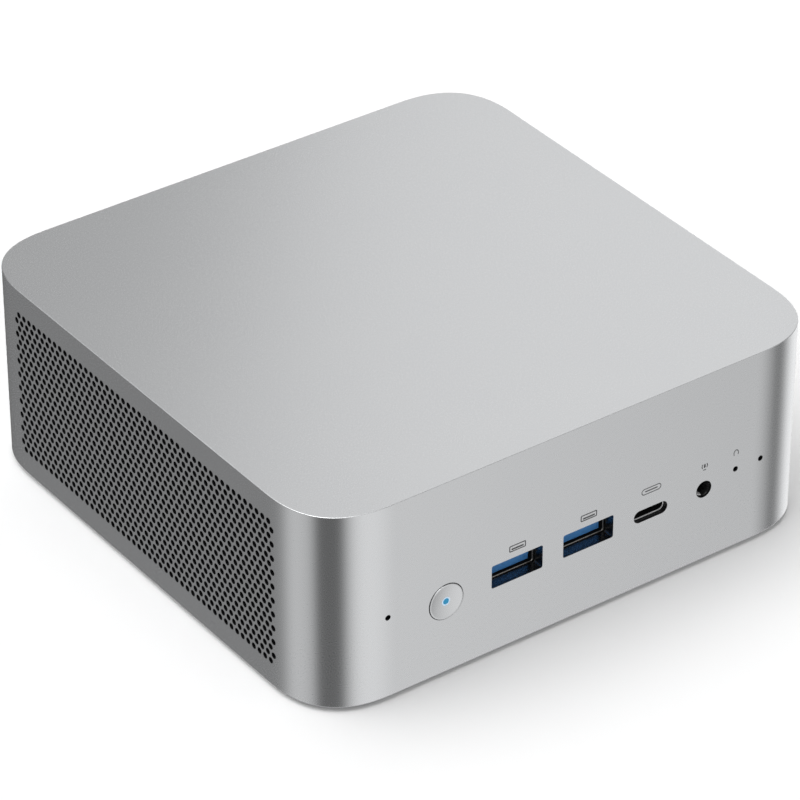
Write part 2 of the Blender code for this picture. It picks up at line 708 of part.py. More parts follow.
def make_underside_parts():
    """Memory, storage, radio card, coin cell and antennas under the board."""
    make_block("ram_socket", (74.0, 6.0, 9.0), "black_plastic", (0, 38.0, 9.2))
    for level, z in (("lower", 6.2), ("upper", 10.6)):
        make_block(f"ram_module_{level}", (69.6, 29.6, 1.4), "circuit_board", (0, 19.9, z))
    make_block("ssd_socket", (6.0, 22.0, 4.0), "black_plastic", (44.0, -20.0, 11.6))
    make_block("ssd_card", (80.0, 22.0, 2.4), "circuit_board", (0.6, -20.0, 11.6))
    make_block("wifi_card", (30.0, 22.0, 2.2), "circuit_board", (26.0, -46.0, 11.8))
    cell = start()
    add_prism(cell, circle(10.0, 24), 10.2, 13.4, "Z")
    place("coin_cell", cell, "steel", (-28.0, -46.0, 0), smooth=True)
    for side, sign in (("left", -1), ("right", 1)):
        make_block(f"antenna_{side}", (34.0, 8.0, 0.6), "copper", (sign * 24.0, 50.0, 3.0))


def main():
    """Clear the scene and build every piece around one empty that stands a foot's rise off the desk."""
    for leftover in list(bpy.data.objects):
        bpy.data.objects.remove(leftover)
    frame = bpy.data.objects.new("mini_pc", None)
    frame.location = (0.0, 0.0, FOOT_RISE * MM)
    bpy.context.scene.collection.objects.link(frame)
    make_housing()
    make_rear_panel()
    make_base_cover()
    make_corner_hardware()
    make_board()
    make_power_button()
    make_reset_switch()
    make_front_ports()
    make_rear_ports()
    make_cooler()
    make_fan()
    make_underside_parts()


main()
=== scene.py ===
"""Looks of a square desktop mini computer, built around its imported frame.

Lengths are in metres, and mm() turns millimetres into them. Flat shapes are drawn as outlines,
counterclockwise lists of (across, up) pairs, and become solids through slab() and lathe(). A shape's
size is its width, its height and its corner radius.
"""

import json
import math

import bmesh
import bpy
import numpy as np
from mathutils import Matrix, Vector
from mathutils.geometry import delaunay_2d_cdt


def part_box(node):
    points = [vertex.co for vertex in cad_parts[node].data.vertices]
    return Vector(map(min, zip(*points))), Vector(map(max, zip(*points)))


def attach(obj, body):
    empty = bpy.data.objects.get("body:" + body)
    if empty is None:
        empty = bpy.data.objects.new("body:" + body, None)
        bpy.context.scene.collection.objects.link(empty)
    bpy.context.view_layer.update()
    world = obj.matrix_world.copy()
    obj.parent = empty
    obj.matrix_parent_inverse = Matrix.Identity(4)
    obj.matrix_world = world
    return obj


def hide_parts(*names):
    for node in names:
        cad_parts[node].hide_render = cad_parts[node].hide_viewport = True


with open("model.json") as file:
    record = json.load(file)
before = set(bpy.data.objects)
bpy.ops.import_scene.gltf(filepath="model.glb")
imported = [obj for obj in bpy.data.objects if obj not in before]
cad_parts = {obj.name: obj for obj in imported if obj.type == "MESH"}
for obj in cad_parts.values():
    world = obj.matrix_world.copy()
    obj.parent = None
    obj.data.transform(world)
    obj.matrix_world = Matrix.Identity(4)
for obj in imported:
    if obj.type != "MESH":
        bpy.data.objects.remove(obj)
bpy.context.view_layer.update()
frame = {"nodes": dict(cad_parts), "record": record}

MM = 0.001


def mm(*sizes):
    """Sizes in millimetres, in metres."""
    return tuple(size * MM for size in sizes)


# Case
CORNER_RADIUS = 19.6 * MM
CORNER_POWER = 2.59  # 2 would be a circular corner
CORNER_STEPS = 28
TOP_EDGE = 0.14 * MM
BOTTOM_EDGE = 0.3 * MM
EDGE_STEPS = 4
SHARP = math.radians(35)  # edges that turn further stay sharp
WALL = 2.7 * MM
LIP_WALL = 2.0 * MM
LIP_HEIGHT = 2.4 * MM
ROOF = 2.0 * MM

# Side vents
VENT_ROWS = 21
VENT_LONG_ROW = 48  # holes in every second row; the rows between have one less
VENT_PITCH = 2.107 * MM
VENT_ROW_PITCH = 1.79 * MM
VENT_MIDDLE = 24.2 * MM  # above the case's bottom edge
VENT_RADIUS = 0.755 * MM
VENT_SIDES = 14
COLUMN_MARGIN = 0.4 * MM  # from a hole to the nearest straight line up the wall
SCREEN_GAP = 0.6 * MM  # between the wall and the filter sheet behind it
SCREEN_THICKNESS = 0.5 * MM
SCREEN_CORNER = 1.0 * MM

# Power button: a dished cap with a flange and a stem behind it
BUTTON_HOLE = 4.5 * MM
BUTTON_GAP = 0.17 * MM
CAP_DEPTH = 3.0 * MM
CAP_FLANGE = mm(5.4, 4.05)  # radius, and the depth of its back
CAP_STEM = mm(2.0, 7.0)
CAP_WELL = 4.0 * MM  # depth of the hole for the light
DISH_LIP = 0.18 * MM  # the rim stands this far out of the case
DISH_MIDDLE = -0.05 * MM  # and the dished middle lies this far inside it
DISH_EDGE = 0.12 * MM
DISH_STEPS = 10
LIGHT_RADIUS = 1.05 * MM  # the light with its rim
LIGHT_RIM = 0.3 * MM
LIGHT_DEPTH = 3.0 * MM
LIGHT_CROWN = mm(0.03, 0.04)  # the lens bulges this far, part of the way in and in its middle

# Connectors
EDGE = 0.1 * MM  # bevel on rolled and moulded edges
USB_A_MOUTH = mm(13.5, 5.8, 0.45)
USB_A_SHELL = mm(13.9, 6.3, 0.6)
USB_A_POCKET = mm(12.5, 5.12, 0.35)
USB_A_BLOCK = mm(12.5, 5.12, 0.3)
USB_A_TONGUE = mm(11.1, 1.84, 0.2)
USB_A_FLOOR = 8.0 * MM
USB_A_CONTACTS = (4, *mm(2.5, 1.2))  # number, pitch and width
TONGUE_RISE = 0.89 * MM  # the tongues stand this far off the middle of their pocket
TONGUE_DROP = 0.26 * MM  # the front tongues are this much thicker below
TONGUE_BEVEL = mm(0.15, 0.2)  # inset and depth
USB_STACK_SHELL = mm(14.4, 16.0, 0.6)
USB_C_MOUTH = mm(9.2, 3.1)
USB_C_SHELL = mm(9.0, 2.9, 1.445)
USB_C_POCKET = mm(8.3, 2.2, 1.095)
USB_C_BLOCK = mm(8.4, 2.3, 1.14)
USB_C_TONGUE = mm(6.7, 0.7, 0.2)
USB_C_FLOOR = 4.2 * MM
USB_C_REACH = 1.9 * MM  # the front shell is brought forward through the wall
USB_C_CONTACTS = (12, *mm(0.5, 0.28))
VIDEO_SHELL = mm(15.2, 6.2, 1.9)  # the third size is the cut at the lower corners
VIDEO_POCKET = mm(14.0, 4.6, 1.7)
VIDEO_BLOCK = mm(14.2, 4.8, 1.7)
VIDEO_TONGUE = mm(10.4, 1.2, 0.25)
VIDEO_DROP = 0.5 * MM
VIDEO_FLOOR = 6.0 * MM
VIDEO_CONTACTS = (10, *mm(0.95, 0.45))
CONTACT_HEIGHT = 0.16 * MM
CONTACT_CORNER = 0.05 * MM
CONTACT_SPAN = mm(0.5, 6.0)  # from and to these depths
CONTACT_BEVEL = mm(0.02, 0.1)
NETWORK_SHELL = mm(16.0, 13.5, 0.5)
NETWORK_BODY = mm(5.95, -2.6, 5.0)  # half width, lower and upper edge of the pocket
NETWORK_LATCH = mm(3.1, -4.8)  # half width and lower edge of the slot under it
NETWORK_FLOOR = 12.0 * MM
NETWORK_CONTACTS = (8, 1.02 * MM)  # number and pitch
NETWORK_CONTACT = mm(0.45, 0.3, 0.1)
NETWORK_CONTACT_SPAN = mm(3.0, 12.2)
NETWORK_CONTACT_HEIGHT = 4.2 * MM
LAMP = mm(2.6, 1.6, 0.2)
LAMP_SPOT = mm(6.1, -4.9)
LAMP_GAP = 0.05 * MM
LAMP_DEPTH = 4.0 * MM

# Audio jack
AUDIO_MOUTH = 2.1 * MM
AUDIO_GAP = 0.04 * MM
JACK_BORE = 1.85 * MM
JACK_BODY = mm(6.4, 5.4, 0.4)
JACK_NOSE = 0.45 * MM  # depth of the nose's front inside the wall
JACK_FLOOR = 3.0 * MM  # the bore ends this far before the body's back
JACK_LEAF = mm(1.5, 0.5, 0.2)
JACK_LEAF_SPAN = mm(0.6, 6.0)
JACK_LEAF_TURN = math.radians(-30)

# Power inlet
INLET_BORE = mm(3.1, 9.5)  # radius and depth
INLET_FUNNEL = mm(3.35, 0.35)
INLET_NOSE = mm(4.4, 5.0)
INLET_BODY = 5.0 * MM
INLET_PIN = mm(1.0, 1.8)  # radius, and the depth of its tip

# Front: pinholes and printed pictograms
PINHOLE_RADIUS = 0.68 * MM
MARK_HEIGHT = 24.7 * MM  # above the case's bottom edge
INK = 0.02 * MM
INK_ROOT = 0.1 * MM  # the ink starts this far inside the wall
USB_A_MARK = (mm(4.4, 1.6, 0.3), mm(3.9, 1.1, 0.1), mm(3.2, 0.4, 0.1), -0.15 * MM)
USB_C_MARK = (mm(5.4, 1.6, 0.79), mm(5.0, 1.2, 0.59), mm(3.4, 0.3, 0.1), 0.0)
MICROPHONE_HEAD = mm(0.5, 1.0, 0.24)
MICROPHONE_FOOT = mm(0.8, 0.2, 0.05)
MICROPHONE_HEIGHTS = mm(0.15, -0.85)  # of the head and the foot
MICROPHONE_WAVE = mm(0.75, 0.2)  # radius and width
ARCH = mm(0.62, 0.18)
ARCH_STRETCH = 1.35
BAND_STEPS = 16  # in a bent strip

# Rear
PANEL_OVERLAP = 1.7 * MM  # the rear panel's flange reaches this far beyond its face
PANEL_GAP = 0.3 * MM
PANEL_FACE = 3.0 * MM  # depth of the face in front of the flange
PANEL_EDGE = 0.25 * MM
PANEL_RADII = mm(1.2, 0.9, 1.5)  # corners of the case's opening, the face and the flange
PANEL_PORTS = {"usb_c_rear": 2.1 * MM, "hdmi_port_left": 0.6 * MM, "hdmi_port_right": 0.6 * MM,
               "network_port": 0.5 * MM, "usb_a_rear": 0.6 * MM}  # corner radii of its openings
EXHAUST_SLOTS = 17
EXHAUST_PITCH = 5.2 * MM
EXHAUST_SLOT = mm(2.6, 8.6, 1.29)
EXHAUST_HEIGHT = 38.6 * MM
LOCK_SLOT = mm(7.0, 3.0, 0.8)
LOCK_SPOT = mm(40.0, 6.4)

# Underside
INTAKE_SLOTS = 13
INTAKE_PITCH = 5.0 * MM
INTAKE_SLOT = mm(2.2, 24.0, 1.09)
INTAKE_Y = 15.0 * MM
BASE_EDGE = 0.25 * MM
FOOT_HOLE = 7.3 * MM
SCREW_HOLE = 2.9 * MM
FOOT_PROFILE = (mm(0.0, 0.15), mm(4.6, 0.15), mm(4.8, 0.0), mm(5.4, 0.0), mm(5.5, 0.2), mm(5.8, 0.2),
                mm(5.9, 0.0), mm(6.5, 0.0), mm(7.0, 0.45), mm(7.0, 1.7), mm(7.4, 1.75), mm(7.4, 3.0),
                mm(0.0, 3.0))  # radius and depth, from the sole's middle outwards
SCREW_HEAD = mm(2.6, 0.8)  # radius and thickness
SCREW_RECESS = mm(1.35, 0.55)
SCREW_EDGE = 0.2 * MM
SCREW_SHANK = mm(1.2, 7.8)
SCREW_SEAT = mm(1.6, 3.2)  # inner and outer radius of the ring under the head
SCREW_SEAT_SPAN = mm(1.0, 2.0)

# Finishes
FINISHES = {  # two colours, roughness, grains in a metre, depth of the relief, metallic
    "case": ("blasted_aluminium", (0.8, 0.81, 0.825), (0.815, 0.825, 0.835), (0.262, 0.278),
             5200, 1e-7, 1.0),
    # near-black inner skin of the case and walls of the connector pockets: painted shade, so the openings
    # read dark
    "inside": ("painted_shade_inside", (0.006, 0.006, 0.007), (0.009, 0.009, 0.01), (0.6, 0.75), 3000, 1e-5),
    # dark glossy reveals of the USB-A mouths: painted shade, kept glossy so they mirror the blue tongues
    "mouth": ("painted_shade_nickel", (0.18, 0.19, 0.21), (0.22, 0.23, 0.25), (0.24, 0.3), 3000, 4e-7, 1.0),
    # near-black reveals of the vents, the USB-C and jack openings and the pinholes: painted shade
    "bore": ("painted_shade_bore", (0.008, 0.008, 0.009), (0.012, 0.012, 0.013), (0.25, 0.35), 3000, 1e-6),
    # dust filter behind the vents, made near-black: painted shade inside the vent holes
    "screen": ("filter_cloth_painted_shade", (0.004, 0.004, 0.004), (0.007, 0.007, 0.007), (0.85, 0.95), 2200, 6e-5),
    # pale nickel that is only partly metallic: painted highlight on the USB-C shell's rim and the jack's
    # contact
    "bright": ("nickel_painted_highlight", (0.74, 0.74, 0.75), (0.78, 0.78, 0.79), (0.3, 0.4), 4000, 1e-6, 0.3),
    "black": ("moulded_black", (0.022, 0.022, 0.023), (0.028, 0.028, 0.029), (0.42, 0.55), 3600, 1.2e-5),
    "dark": ("smooth_black", (0.012, 0.012, 0.013), (0.016, 0.016, 0.017), (0.25, 0.32), 2500, 2e-6),
    "port": ("nickel_plate", (0.55, 0.53, 0.5), (0.6, 0.58, 0.55), (0.22, 0.34), 4000, 2e-6, 1.0),
    "blue": ("moulded_blue", (0.045, 0.2, 0.49), (0.055, 0.23, 0.54), (0.34, 0.42), 2500, 3e-6),
    "gold": ("gold_contact", (0.83, 0.62, 0.28), (0.88, 0.67, 0.33), (0.2, 0.3), 2500, 1e-6, 1.0),
    "steel": ("zinc_steel", (0.55, 0.55, 0.56), (0.62, 0.62, 0.63), (0.25, 0.38), 3000, 3e-6, 1.0),
    "rubber": ("matt_rubber", (0.02, 0.02, 0.02), (0.028, 0.028, 0.028), (0.75, 0.9), 2600, 3e-5),
    "brass": ("turned_brass", (0.7, 0.52, 0.24), (0.76, 0.58, 0.28), (0.28, 0.4), 2500, 2e-6, 1.0),
    "copper": ("bare_copper", (0.66, 0.36, 0.22), (0.72, 0.42, 0.27), (0.3, 0.42), 2500, 2e-6, 1.0),
    "fins": ("fin_sheet", (0.62, 0.62, 0.63), (0.68, 0.68, 0.69), (0.3, 0.4), 2500, 2e-6, 1.0),
    "board": ("solder_mask", (0.012, 0.03, 0.018), (0.018, 0.042, 0.025), (0.35, 0.45), 900, 1e-5),
    "silicon": ("bare_silicon", (0.09, 0.1, 0.12), (0.11, 0.12, 0.14), (0.15, 0.22), 2500, 1e-6, 0.3),
    "amber": ("amber_lamp", (0.6, 0.34, 0.08), (0.66, 0.4, 0.1), (0.25, 0.35), 2500, 2e-6),
    "ink": ("grey_ink", (0.07, 0.07, 0.073), (0.09, 0.09, 0.093), (0.5, 0.6), 4000, 1e-6),
    "light": ("lit_blue", (0.01, 0.18, 0.34), (0.014, 0.22, 0.39), (0.35, 0.5), 3000, 3e-6),
    "light_rim": ("lit_rim", (0.42, 0.54, 0.66), (0.48, 0.6, 0.72), (0.35, 0.5), 3000, 3e-6),
}
SLOT_FINISHES = {  # what the CAD's material slots get
    "circuit_board": "board", "silicon": "silicon", "copper": "copper", "brass": "brass", "steel": "steel",
    "fin_aluminium": "fins", "black_plastic": "black", "port_steel": "port", "port_blue": "blue",
    "black_panel": "black", "case_aluminium": "case", "rubber": "rubber", "light_pipe": "light",
}
LIT_FINISHES = ("light", "light_rim")
LIT_STRENGTH = 0.5
WANDER = 60  # features in a metre of the slow changes in colour
RELIEF_STRENGTH = 0.6
NOISE_SPAN = (0.25, 0.75)  # where most of the noise's values lie

# Camera: its distance, lens and viewing angle
VIEW_AZIMUTH = math.radians(-35.88)
VIEW_ELEVATION = math.radians(33.62)
VIEW_DISTANCE = 1.0144
VIEW_OFFSET = (0.00084, 0.01626)
LENS = 202.5
SENSOR = 36.0

# Light. Azimuth 0 is the front and 90 the right side; angles in degrees.
FLOOR_REACH = 6.0
FLOOR_TONES = ((0.93, 0.93, 0.93), (0.94, 0.94, 0.94))
FLOOR_GRAIN = 30  # features in a metre
FLOOR_ROUGHNESS = 0.9
BACKDROP = 1.0  # brightness of the plain backdrop behind the floor
ROOM = 0.10  # brightness of the surroundings between the glows
GLOWS = (  # azimuth, elevation, half width and brightness
    (16, -33, 38, 0.70),
    (112, -28, 44, 0.92),
    (-98, -33, 30, 0.46),
    (-150, -30, 50, 0.12),
    (132, 42, 44, 0.32),
    (-110, 72, 46, 3.2),
    (0, -90, 54, 0.5),
    (2, 14, 40, 0.70),
    (50, 14, 36, 0.49),
    (-52, 10, 30, 0.45),
    (-135, 16, 36, 0.45),
)
SOFT_BOX = {"azimuth": 125, "elevation": 34, "distance": 0.73, "size": 0.52, "power": 0.305}

low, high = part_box("housing_shell")
materials = {}


# Outlines

def circle(radius, sides, middle=(0.0, 0.0)):
    """Outline of a circle."""
    turns = [2 * math.pi * i / sides for i in range(sides)]
    return [(middle[0] + radius * math.cos(t), middle[1] + radius * math.sin(t)) for t in turns]


def rounded(width, height, radius, middle=(0.0, 0.0), steps=6):
    """Outline of a rectangle with round corners."""
    outline = []
    for quarter, (i, j) in enumerate(((1, 1), (-1, 1), (-1, -1), (1, -1))):
        x = middle[0] + i * (width / 2 - radius)
        y = middle[1] + j * (height / 2 - radius)
        for step in range(steps + 1):
            turn = (quarter + step / steps) * math.pi / 2
            outline.append((x + radius * math.cos(turn), y + radius * math.sin(turn)))
    return outline


def shrink(outline, inset):
    """The outline drawn in by inset on every side; a negative inset widens it."""
    if not inset:
        return list(outline)
    spots = [Vector(spot) for spot in outline]
    edges = [(after - spot).normalized() for spot, after in zip(spots, spots[1:] + spots[:1])]
    result = []
    for spot, before, after in zip(spots, edges[-1:] + edges[:-1], edges):
        first, second = Vector((-before.y, before.x)), Vector((-after.y, after.x))
        result.append(tuple(spot + (first + second) * (inset / (1 + first.dot(second)))))
    return result


def triangles(outer, holes):
    """Triangles that fill an outline around its holes; the corners are counted through all outlines."""
    corners, faces = [], []
    for outline in [outer] + holes:
        faces.append(list(range(len(corners), len(corners) + len(outline))))
        corners += [Vector((x / MM, y / MM)) for x, y in outline]
    _, _, found, originals, _, parents = delaunay_2d_cdt(corners, [], faces, 1, 1e-5)
    inside = [face for face, parent in zip(found, parents) if list(parent) == [0]]
    return [[originals[corner][0] for corner in face] for face in inside]


def spaced(count, pitch):
    """Places in a row about its middle."""
    return [(index - (count - 1) / 2) * pitch for index in range(count)]


# Solids

def slab(outer, holes, levels, mesh=None):
    """Plate with holes, added to a mesh or in a new one.

    A level is a depth, and how far the edges are drawn into the solid there.
    """
    mesh = mesh or bmesh.new()
    fill = triangles(outer, holes)
    rings = []
    for depth, inset in levels:
        loops = [shrink(outer, inset)] + [shrink(hole, -inset) for hole in holes]
        rings.append([[mesh.verts.new((x, y, depth)) for x, y in loop] for loop in loops])
    for ring in (rings[0], rings[-1]):
        corners = [corner for loop in ring for corner in loop]
        for face in fill:
            mesh.faces.new([corners[i] for i in face])
    for near, far in zip(rings, rings[1:]):
        for near_loop, far_loop in zip(near, far):
            for i in range(len(near_loop)):
                j = (i + 1) % len(near_loop)
                mesh.faces.new((near_loop[i], near_loop[j], far_loop[j], far_loop[i]))
    return mesh


def lathe(profile, sides, mesh=None):
    """Turned solid from a profile of (radius, depth) pairs, added to a mesh or in a new one."""
    mesh = mesh or bmesh.new()
    rings = []
    for radius, depth in profile:
        if radius:
            rings.append([mesh.verts.new((x, y, depth)) for x, y in circle(radius, sides)])
        else:
            rings.append([mesh.verts.new((0.0, 0.0, depth))] * sides)
    for near, far in zip(rings, rings[1:]):
        for i in range(sides):
            j = (i + 1) % sides
            corners = dict.fromkeys((near[i], near[j], far[j], far[i]))
            if len(corners) > 2:
                mesh.faces.new(list(corners))
    return mesh


def facing(direction, spot):
    """Placement of a drawing: across and up in the plane, depth going into the case from that side."""
    axes = {
        "front": ((1, 0, 0), (0, 0, 1), (0, 1, 0)),
        "back": ((1, 0, 0), (0, 0, 1), (0, -1, 0)),
        "left": ((0, 1, 0), (0, 0, 1), (1, 0, 0)),
        "right": ((0, 1, 0), (0, 0, 1), (-1, 0, 0)),
        "bottom": ((1, 0, 0), (0, 1, 0), (0, 0, 1)),
    }[direction]
    turn = Matrix(axes).transposed().to_4x4()
    return Matrix.Translation(Vector(spot)) @ turn


def finish_piece(name, mesh, placement, finishes, stands_for=(), body="case", picker=None):
    """Turn a drawn mesh into a piece that rides on a body; picker gives a face's finish."""
    mesh.transform(placement)
    bmesh.ops.remove_doubles(mesh, verts=mesh.verts, dist=1e-7)
    bmesh.ops.recalc_face_normals(mesh, faces=mesh.faces)
    data = bpy.data.meshes.new(name)
    mesh.to_mesh(data)
    mesh.free()
    for finish in finishes:
        data.materials.append(materials[finish])
    if picker:
        for face in data.polygons:
            face.material_index = picker(face)
    data.shade_smooth()
    data.set_sharp_from_angle(angle=SHARP)
    add_piece(name, data, stands_for, body)


def add_object(name, data):
    """New object in the scene for a mesh, a camera or a light."""
    thing = bpy.data.objects.new(name, data)
    bpy.context.scene.collection.objects.link(thing)
    return thing


def add_piece(name, data, stands_for, body="case"):
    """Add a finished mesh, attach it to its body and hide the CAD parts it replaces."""
    piece = add_object(name, data)
    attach(piece, body)
    if stands_for:
        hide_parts(*stands_for)


def middle_of(node):
    """Middle of a CAD node's box."""
    lowest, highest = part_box(node)
    return (lowest + highest) / 2


# Materials

def new_material(name):
    """An empty node material and its Principled shader."""
    material = bpy.data.materials.new(name)
    material.use_nodes = True
    return material, material.node_tree.nodes["Principled BSDF"]


def noise(tree, scale, detail=2.0):
    """Noise over the object's own coordinates; scale is features per metre."""
    coordinates = tree.nodes.new("ShaderNodeTexCoord")
    texture = tree.nodes.new("ShaderNodeTexNoise")
    texture.inputs["Scale"].default_value = scale
    texture.inputs["Detail"].default_value = detail
    tree.links.new(coordinates.outputs["Object"], texture.inputs["Vector"])
    return texture.outputs["Fac"]


def spread(tree, value, lowest, highest):
    """Map a noise value onto a range."""
    remap = tree.nodes.new("ShaderNodeMapRange")
    for name, number in zip(("From Min", "From Max", "To Min", "To Max"), (*NOISE_SPAN, lowest, highest)):
        remap.inputs[name].default_value = number
    tree.links.new(value, remap.inputs["Value"])
    return remap.outputs["Result"]


def tint(tree, value, first, second):
    """Blend two colours by a value."""
    mix = tree.nodes.new("ShaderNodeMix")
    mix.data_type = "RGBA"
    mix.inputs["A"].default_value = (*first, 1.0)
    mix.inputs["B"].default_value = (*second, 1.0)
    tree.links.new(value, mix.inputs["Factor"])
    return mix.outputs["Result"]


def bump(tree, height, distance):
    """Surface relief from a height value."""
    relief = tree.nodes.new("ShaderNodeBump")
    relief.inputs["Distance"].default_value = distance
    relief.inputs["Strength"].default_value = RELIEF_STRENGTH
    tree.links.new(height, relief.inputs["Height"])
    return relief.outputs["Normal"]


def surface(name, first, second, roughness, grain, relief, metallic=0.0):
    """A material whose colour wanders between two, with a fine grain in its roughness and relief.

    roughness is a lowest and a highest value, grain the grains in a metre and relief their depth.
    """
    material, shader = new_material(name)
    tree = material.node_tree
    slow = noise(tree, WANDER)
    fine = noise(tree, grain, 3.0)
    tree.links.new(tint(tree, slow, first, second), shader.inputs["Base Color"])
    tree.links.new(spread(tree, fine, *roughness), shader.inputs["Roughness"])
    tree.links.new(bump(tree, fine, relief), shader.inputs["Normal"])
    shader.inputs["Metallic"].default_value = metallic
    return material


def make_materials():
    """All the finishes; the lit ones glow in their own colour."""
    for name, recipe in FINISHES.items():
        materials[name] = surface(*recipe)
    for name in LIT_FINISHES:
        tree = materials[name].node_tree
        shader = tree.nodes["Principled BSDF"]
        tree.links.new(shader.inputs["Base Color"].links[0].from_socket, shader.inputs["Emission Color"])
        shader.inputs["Emission Strength"].default_value = LIT_STRENGTH


# Case

def case_plan():
    """The case's plan from the middle of a rear corner: points, outward normals, distances round."""
    reach_x = (high.x - low.x) / 2 - CORNER_RADIUS
    reach_y = (high.y - low.y) / 2 - CORNER_RADIUS
    spots, normals = [], []
    for quarter, (side_x, side_y) in enumerate(((1, 1), (-1, 1), (-1, -1), (1, -1))):
        for step in range(CORNER_STEPS + 1):
            turn = (quarter + step / CORNER_STEPS) * math.pi / 2
            x, y = math.cos(turn), math.sin(turn)
            swell = (abs(x) ** CORNER_POWER + abs(y) ** CORNER_POWER) ** (-1 / CORNER_POWER)
            spots.append((side_x * reach_x + CORNER_RADIUS * swell * x,
                          side_y * reach_y + CORNER_RADIUS * swell * y))
            steep = Vector((math.copysign(abs(x) ** (CORNER_POWER - 1), x),
                            math.copysign(abs(y) ** (CORNER_POWER - 1), y)))
            normals.append(tuple(steep.normalized()))
    first = CORNER_STEPS + 1 + CORNER_STEPS // 2
    order = list(range(first, len(spots))) + list(range(first + 1))
    spots, normals = np.array(spots)[order], np.array(normals)[order]
    steps = np.linalg.norm(np.diff(spots, axis=0), axis=1)
    return spots, normals, np.concatenate(([0.0], np.cumsum(steps)))


class Wall:
    """The case's outer wall unrolled into a distance round it and a height, with the holes in it."""

    def __init__(self):
        self.spots, self.normals, self.rounds = case_plan()
        self.bottom = low.z + BOTTOM_EDGE
        self.top = high.z - TOP_EDGE
        self.holes = []
        self.kinds = []

    def round_at(self, side, value):
        """Distance round the wall of a place on one side, given by its x or y."""
        axis, sign = {"front": (1, -1), "back": (1, 1), "left": (0, -1), "right": (0, 1)}[side]
        here = self.normals[:, axis] * sign > 0.7
        places, rounds = self.spots[here, 1 - axis], self.rounds[here]
        order = np.argsort(places)
        return float(np.interp(value, places[order], rounds[order]))

    def bore(self, side, outline, kind):
        """Cut an outline, drawn in that side's own x or y and z, out of the wall."""
        flip = -1 if side in ("back", "left") else 1
        across = sum(spot[0] for spot in outline) / len(outline)
        middle = self.round_at(side, across)
        self.holes.append([(middle + flip * (u - across), v) for u, v in outline][::flip])
        self.kinds.append(kind)

    def read(self, table, rounds):
        """Values of one of the plan's tables for distances round the wall."""
        return np.stack([np.interp(rounds, self.rounds, table[:, i]) for i in (0, 1)], axis=1)

    def place(self, rounds, heights, inset):
        """Points in space for distances round the wall and heights, drawn in by inset."""
        spots = self.read(self.spots, rounds) - self.normal(rounds)[:, :2] * inset
        return np.column_stack((spots, heights))

    def normal(self, rounds):
        """Outward normals for distances round the wall."""
        flat = self.read(self.normals, rounds)
        flat /= np.linalg.norm(flat, axis=1, keepdims=True)
        return np.column_stack((flat, np.zeros(len(flat))))

    def free_columns(self):
        """Columns of the plan where a line from the bottom to the top meets no hole."""
        spans = [(min(u for u, _ in hole), max(u for u, _ in hole)) for hole in self.holes]
        return [i for i, place in enumerate(self.rounds)
                if not any(start - COLUMN_MARGIN < place < end + COLUMN_MARGIN for start, end in spans)]


def cut_case_holes(wall):
    """Every opening in the walls: the vents, the controls and ports in front, the rear opening."""
    for row, rise in enumerate(spaced(VENT_ROWS, VENT_ROW_PITCH)):
        height = low.z + VENT_MIDDLE + rise
        for y in spaced(VENT_LONG_ROW - (row + 1) % 2, VENT_PITCH):
            for side in ("left", "right"):
                wall.bore(side, circle(VENT_RADIUS, VENT_SIDES, (y, height)), "vent")
    button = middle_of("power_button")
    wall.bore("front", circle(BUTTON_HOLE, 64, (button.x, button.z)), "plain")
    for side in ("left", "right"):
        port = middle_of(f"usb_a_front_{side}")
        wall.bore("front", rounded(*USB_A_MOUTH, (port.x, port.z)), "mouth")
    port = middle_of("usb_c_front")
    wall.bore("front", rounded(*USB_C_MOUTH, USB_C_MOUTH[1] / 2.001, (port.x, port.z), 10), "vent")
    jack = middle_of("audio_jack")
    wall.bore("front", circle(AUDIO_MOUTH, 48, (jack.x, jack.z)), "vent")
    for node in ("mic_left", "mic_right", "reset_plunger"):
        spot = middle_of(node)
        wall.bore("front", circle(PINHOLE_RADIUS, 24, (spot.x, spot.z)), "vent")
    lowest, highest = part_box("rear_panel")
    panel = middle_of("rear_panel")
    shoulder = 2 * (PANEL_OVERLAP - PANEL_GAP)
    size = (highest.x - lowest.x - shoulder, highest.z - lowest.z - shoulder)
    wall.bore("back", rounded(*size, PANEL_RADII[0], (panel.x, panel.z)), "plain")
    wall.bore("back", rounded(*LOCK_SLOT, (LOCK_SPOT[0], low.z + LOCK_SPOT[1])), "plain")


def wall_skin(wall):
    """Corners of the unrolled wall, the triangles between its holes, and the hole each corner is on."""
    columns = len(wall.rounds)
    corners = [(u, wall.bottom) for u in wall.rounds] + [(u, wall.top) for u in wall.rounds[::-1]]
    edges = [(i, 2 * columns - 1 - i) for i in wall.free_columns()[1:-1]]
    faces = [list(range(2 * columns))]
    owner = [-1] * len(corners)
    for number, hole in enumerate(wall.holes):
        faces.append(list(range(len(corners), len(corners) + len(hole))))
        corners += hole
        owner += [number] * len(hole)
    scaled = [Vector((u / MM, v / MM)) for u, v in corners]
    _, _, found, originals, _, parents = delaunay_2d_cdt(scaled, edges, faces, 1, 1e-6)
    skin = [[originals[corner][0] for corner in face]
            for face, parent in zip(found, parents) if list(parent) == [0]]

    # The last column lies on the first, so its corners are folded onto the first column's.
    fold = {columns - 1: 0, columns: 2 * columns - 1}
    return corners, [[fold.get(corner, corner) for corner in face] for face in skin], owner


def bored_faces(wall, skin, owner):
    """Faces inside the holes, by the kind of hole; the inner corners follow after all the outer ones."""
    bored = {"plain": [], "vent": [], "mouth": []}
    count = len(owner)
    sides = {(face[i], face[(i + 1) % 3]) for face in skin for i in range(3)}
    for a, b in sorted(sides):
        if (b, a) not in sides and owner[a] >= 0:
            bored[wall.kinds[owner[a]]].append([b, a, a + count, b + count])
    return bored


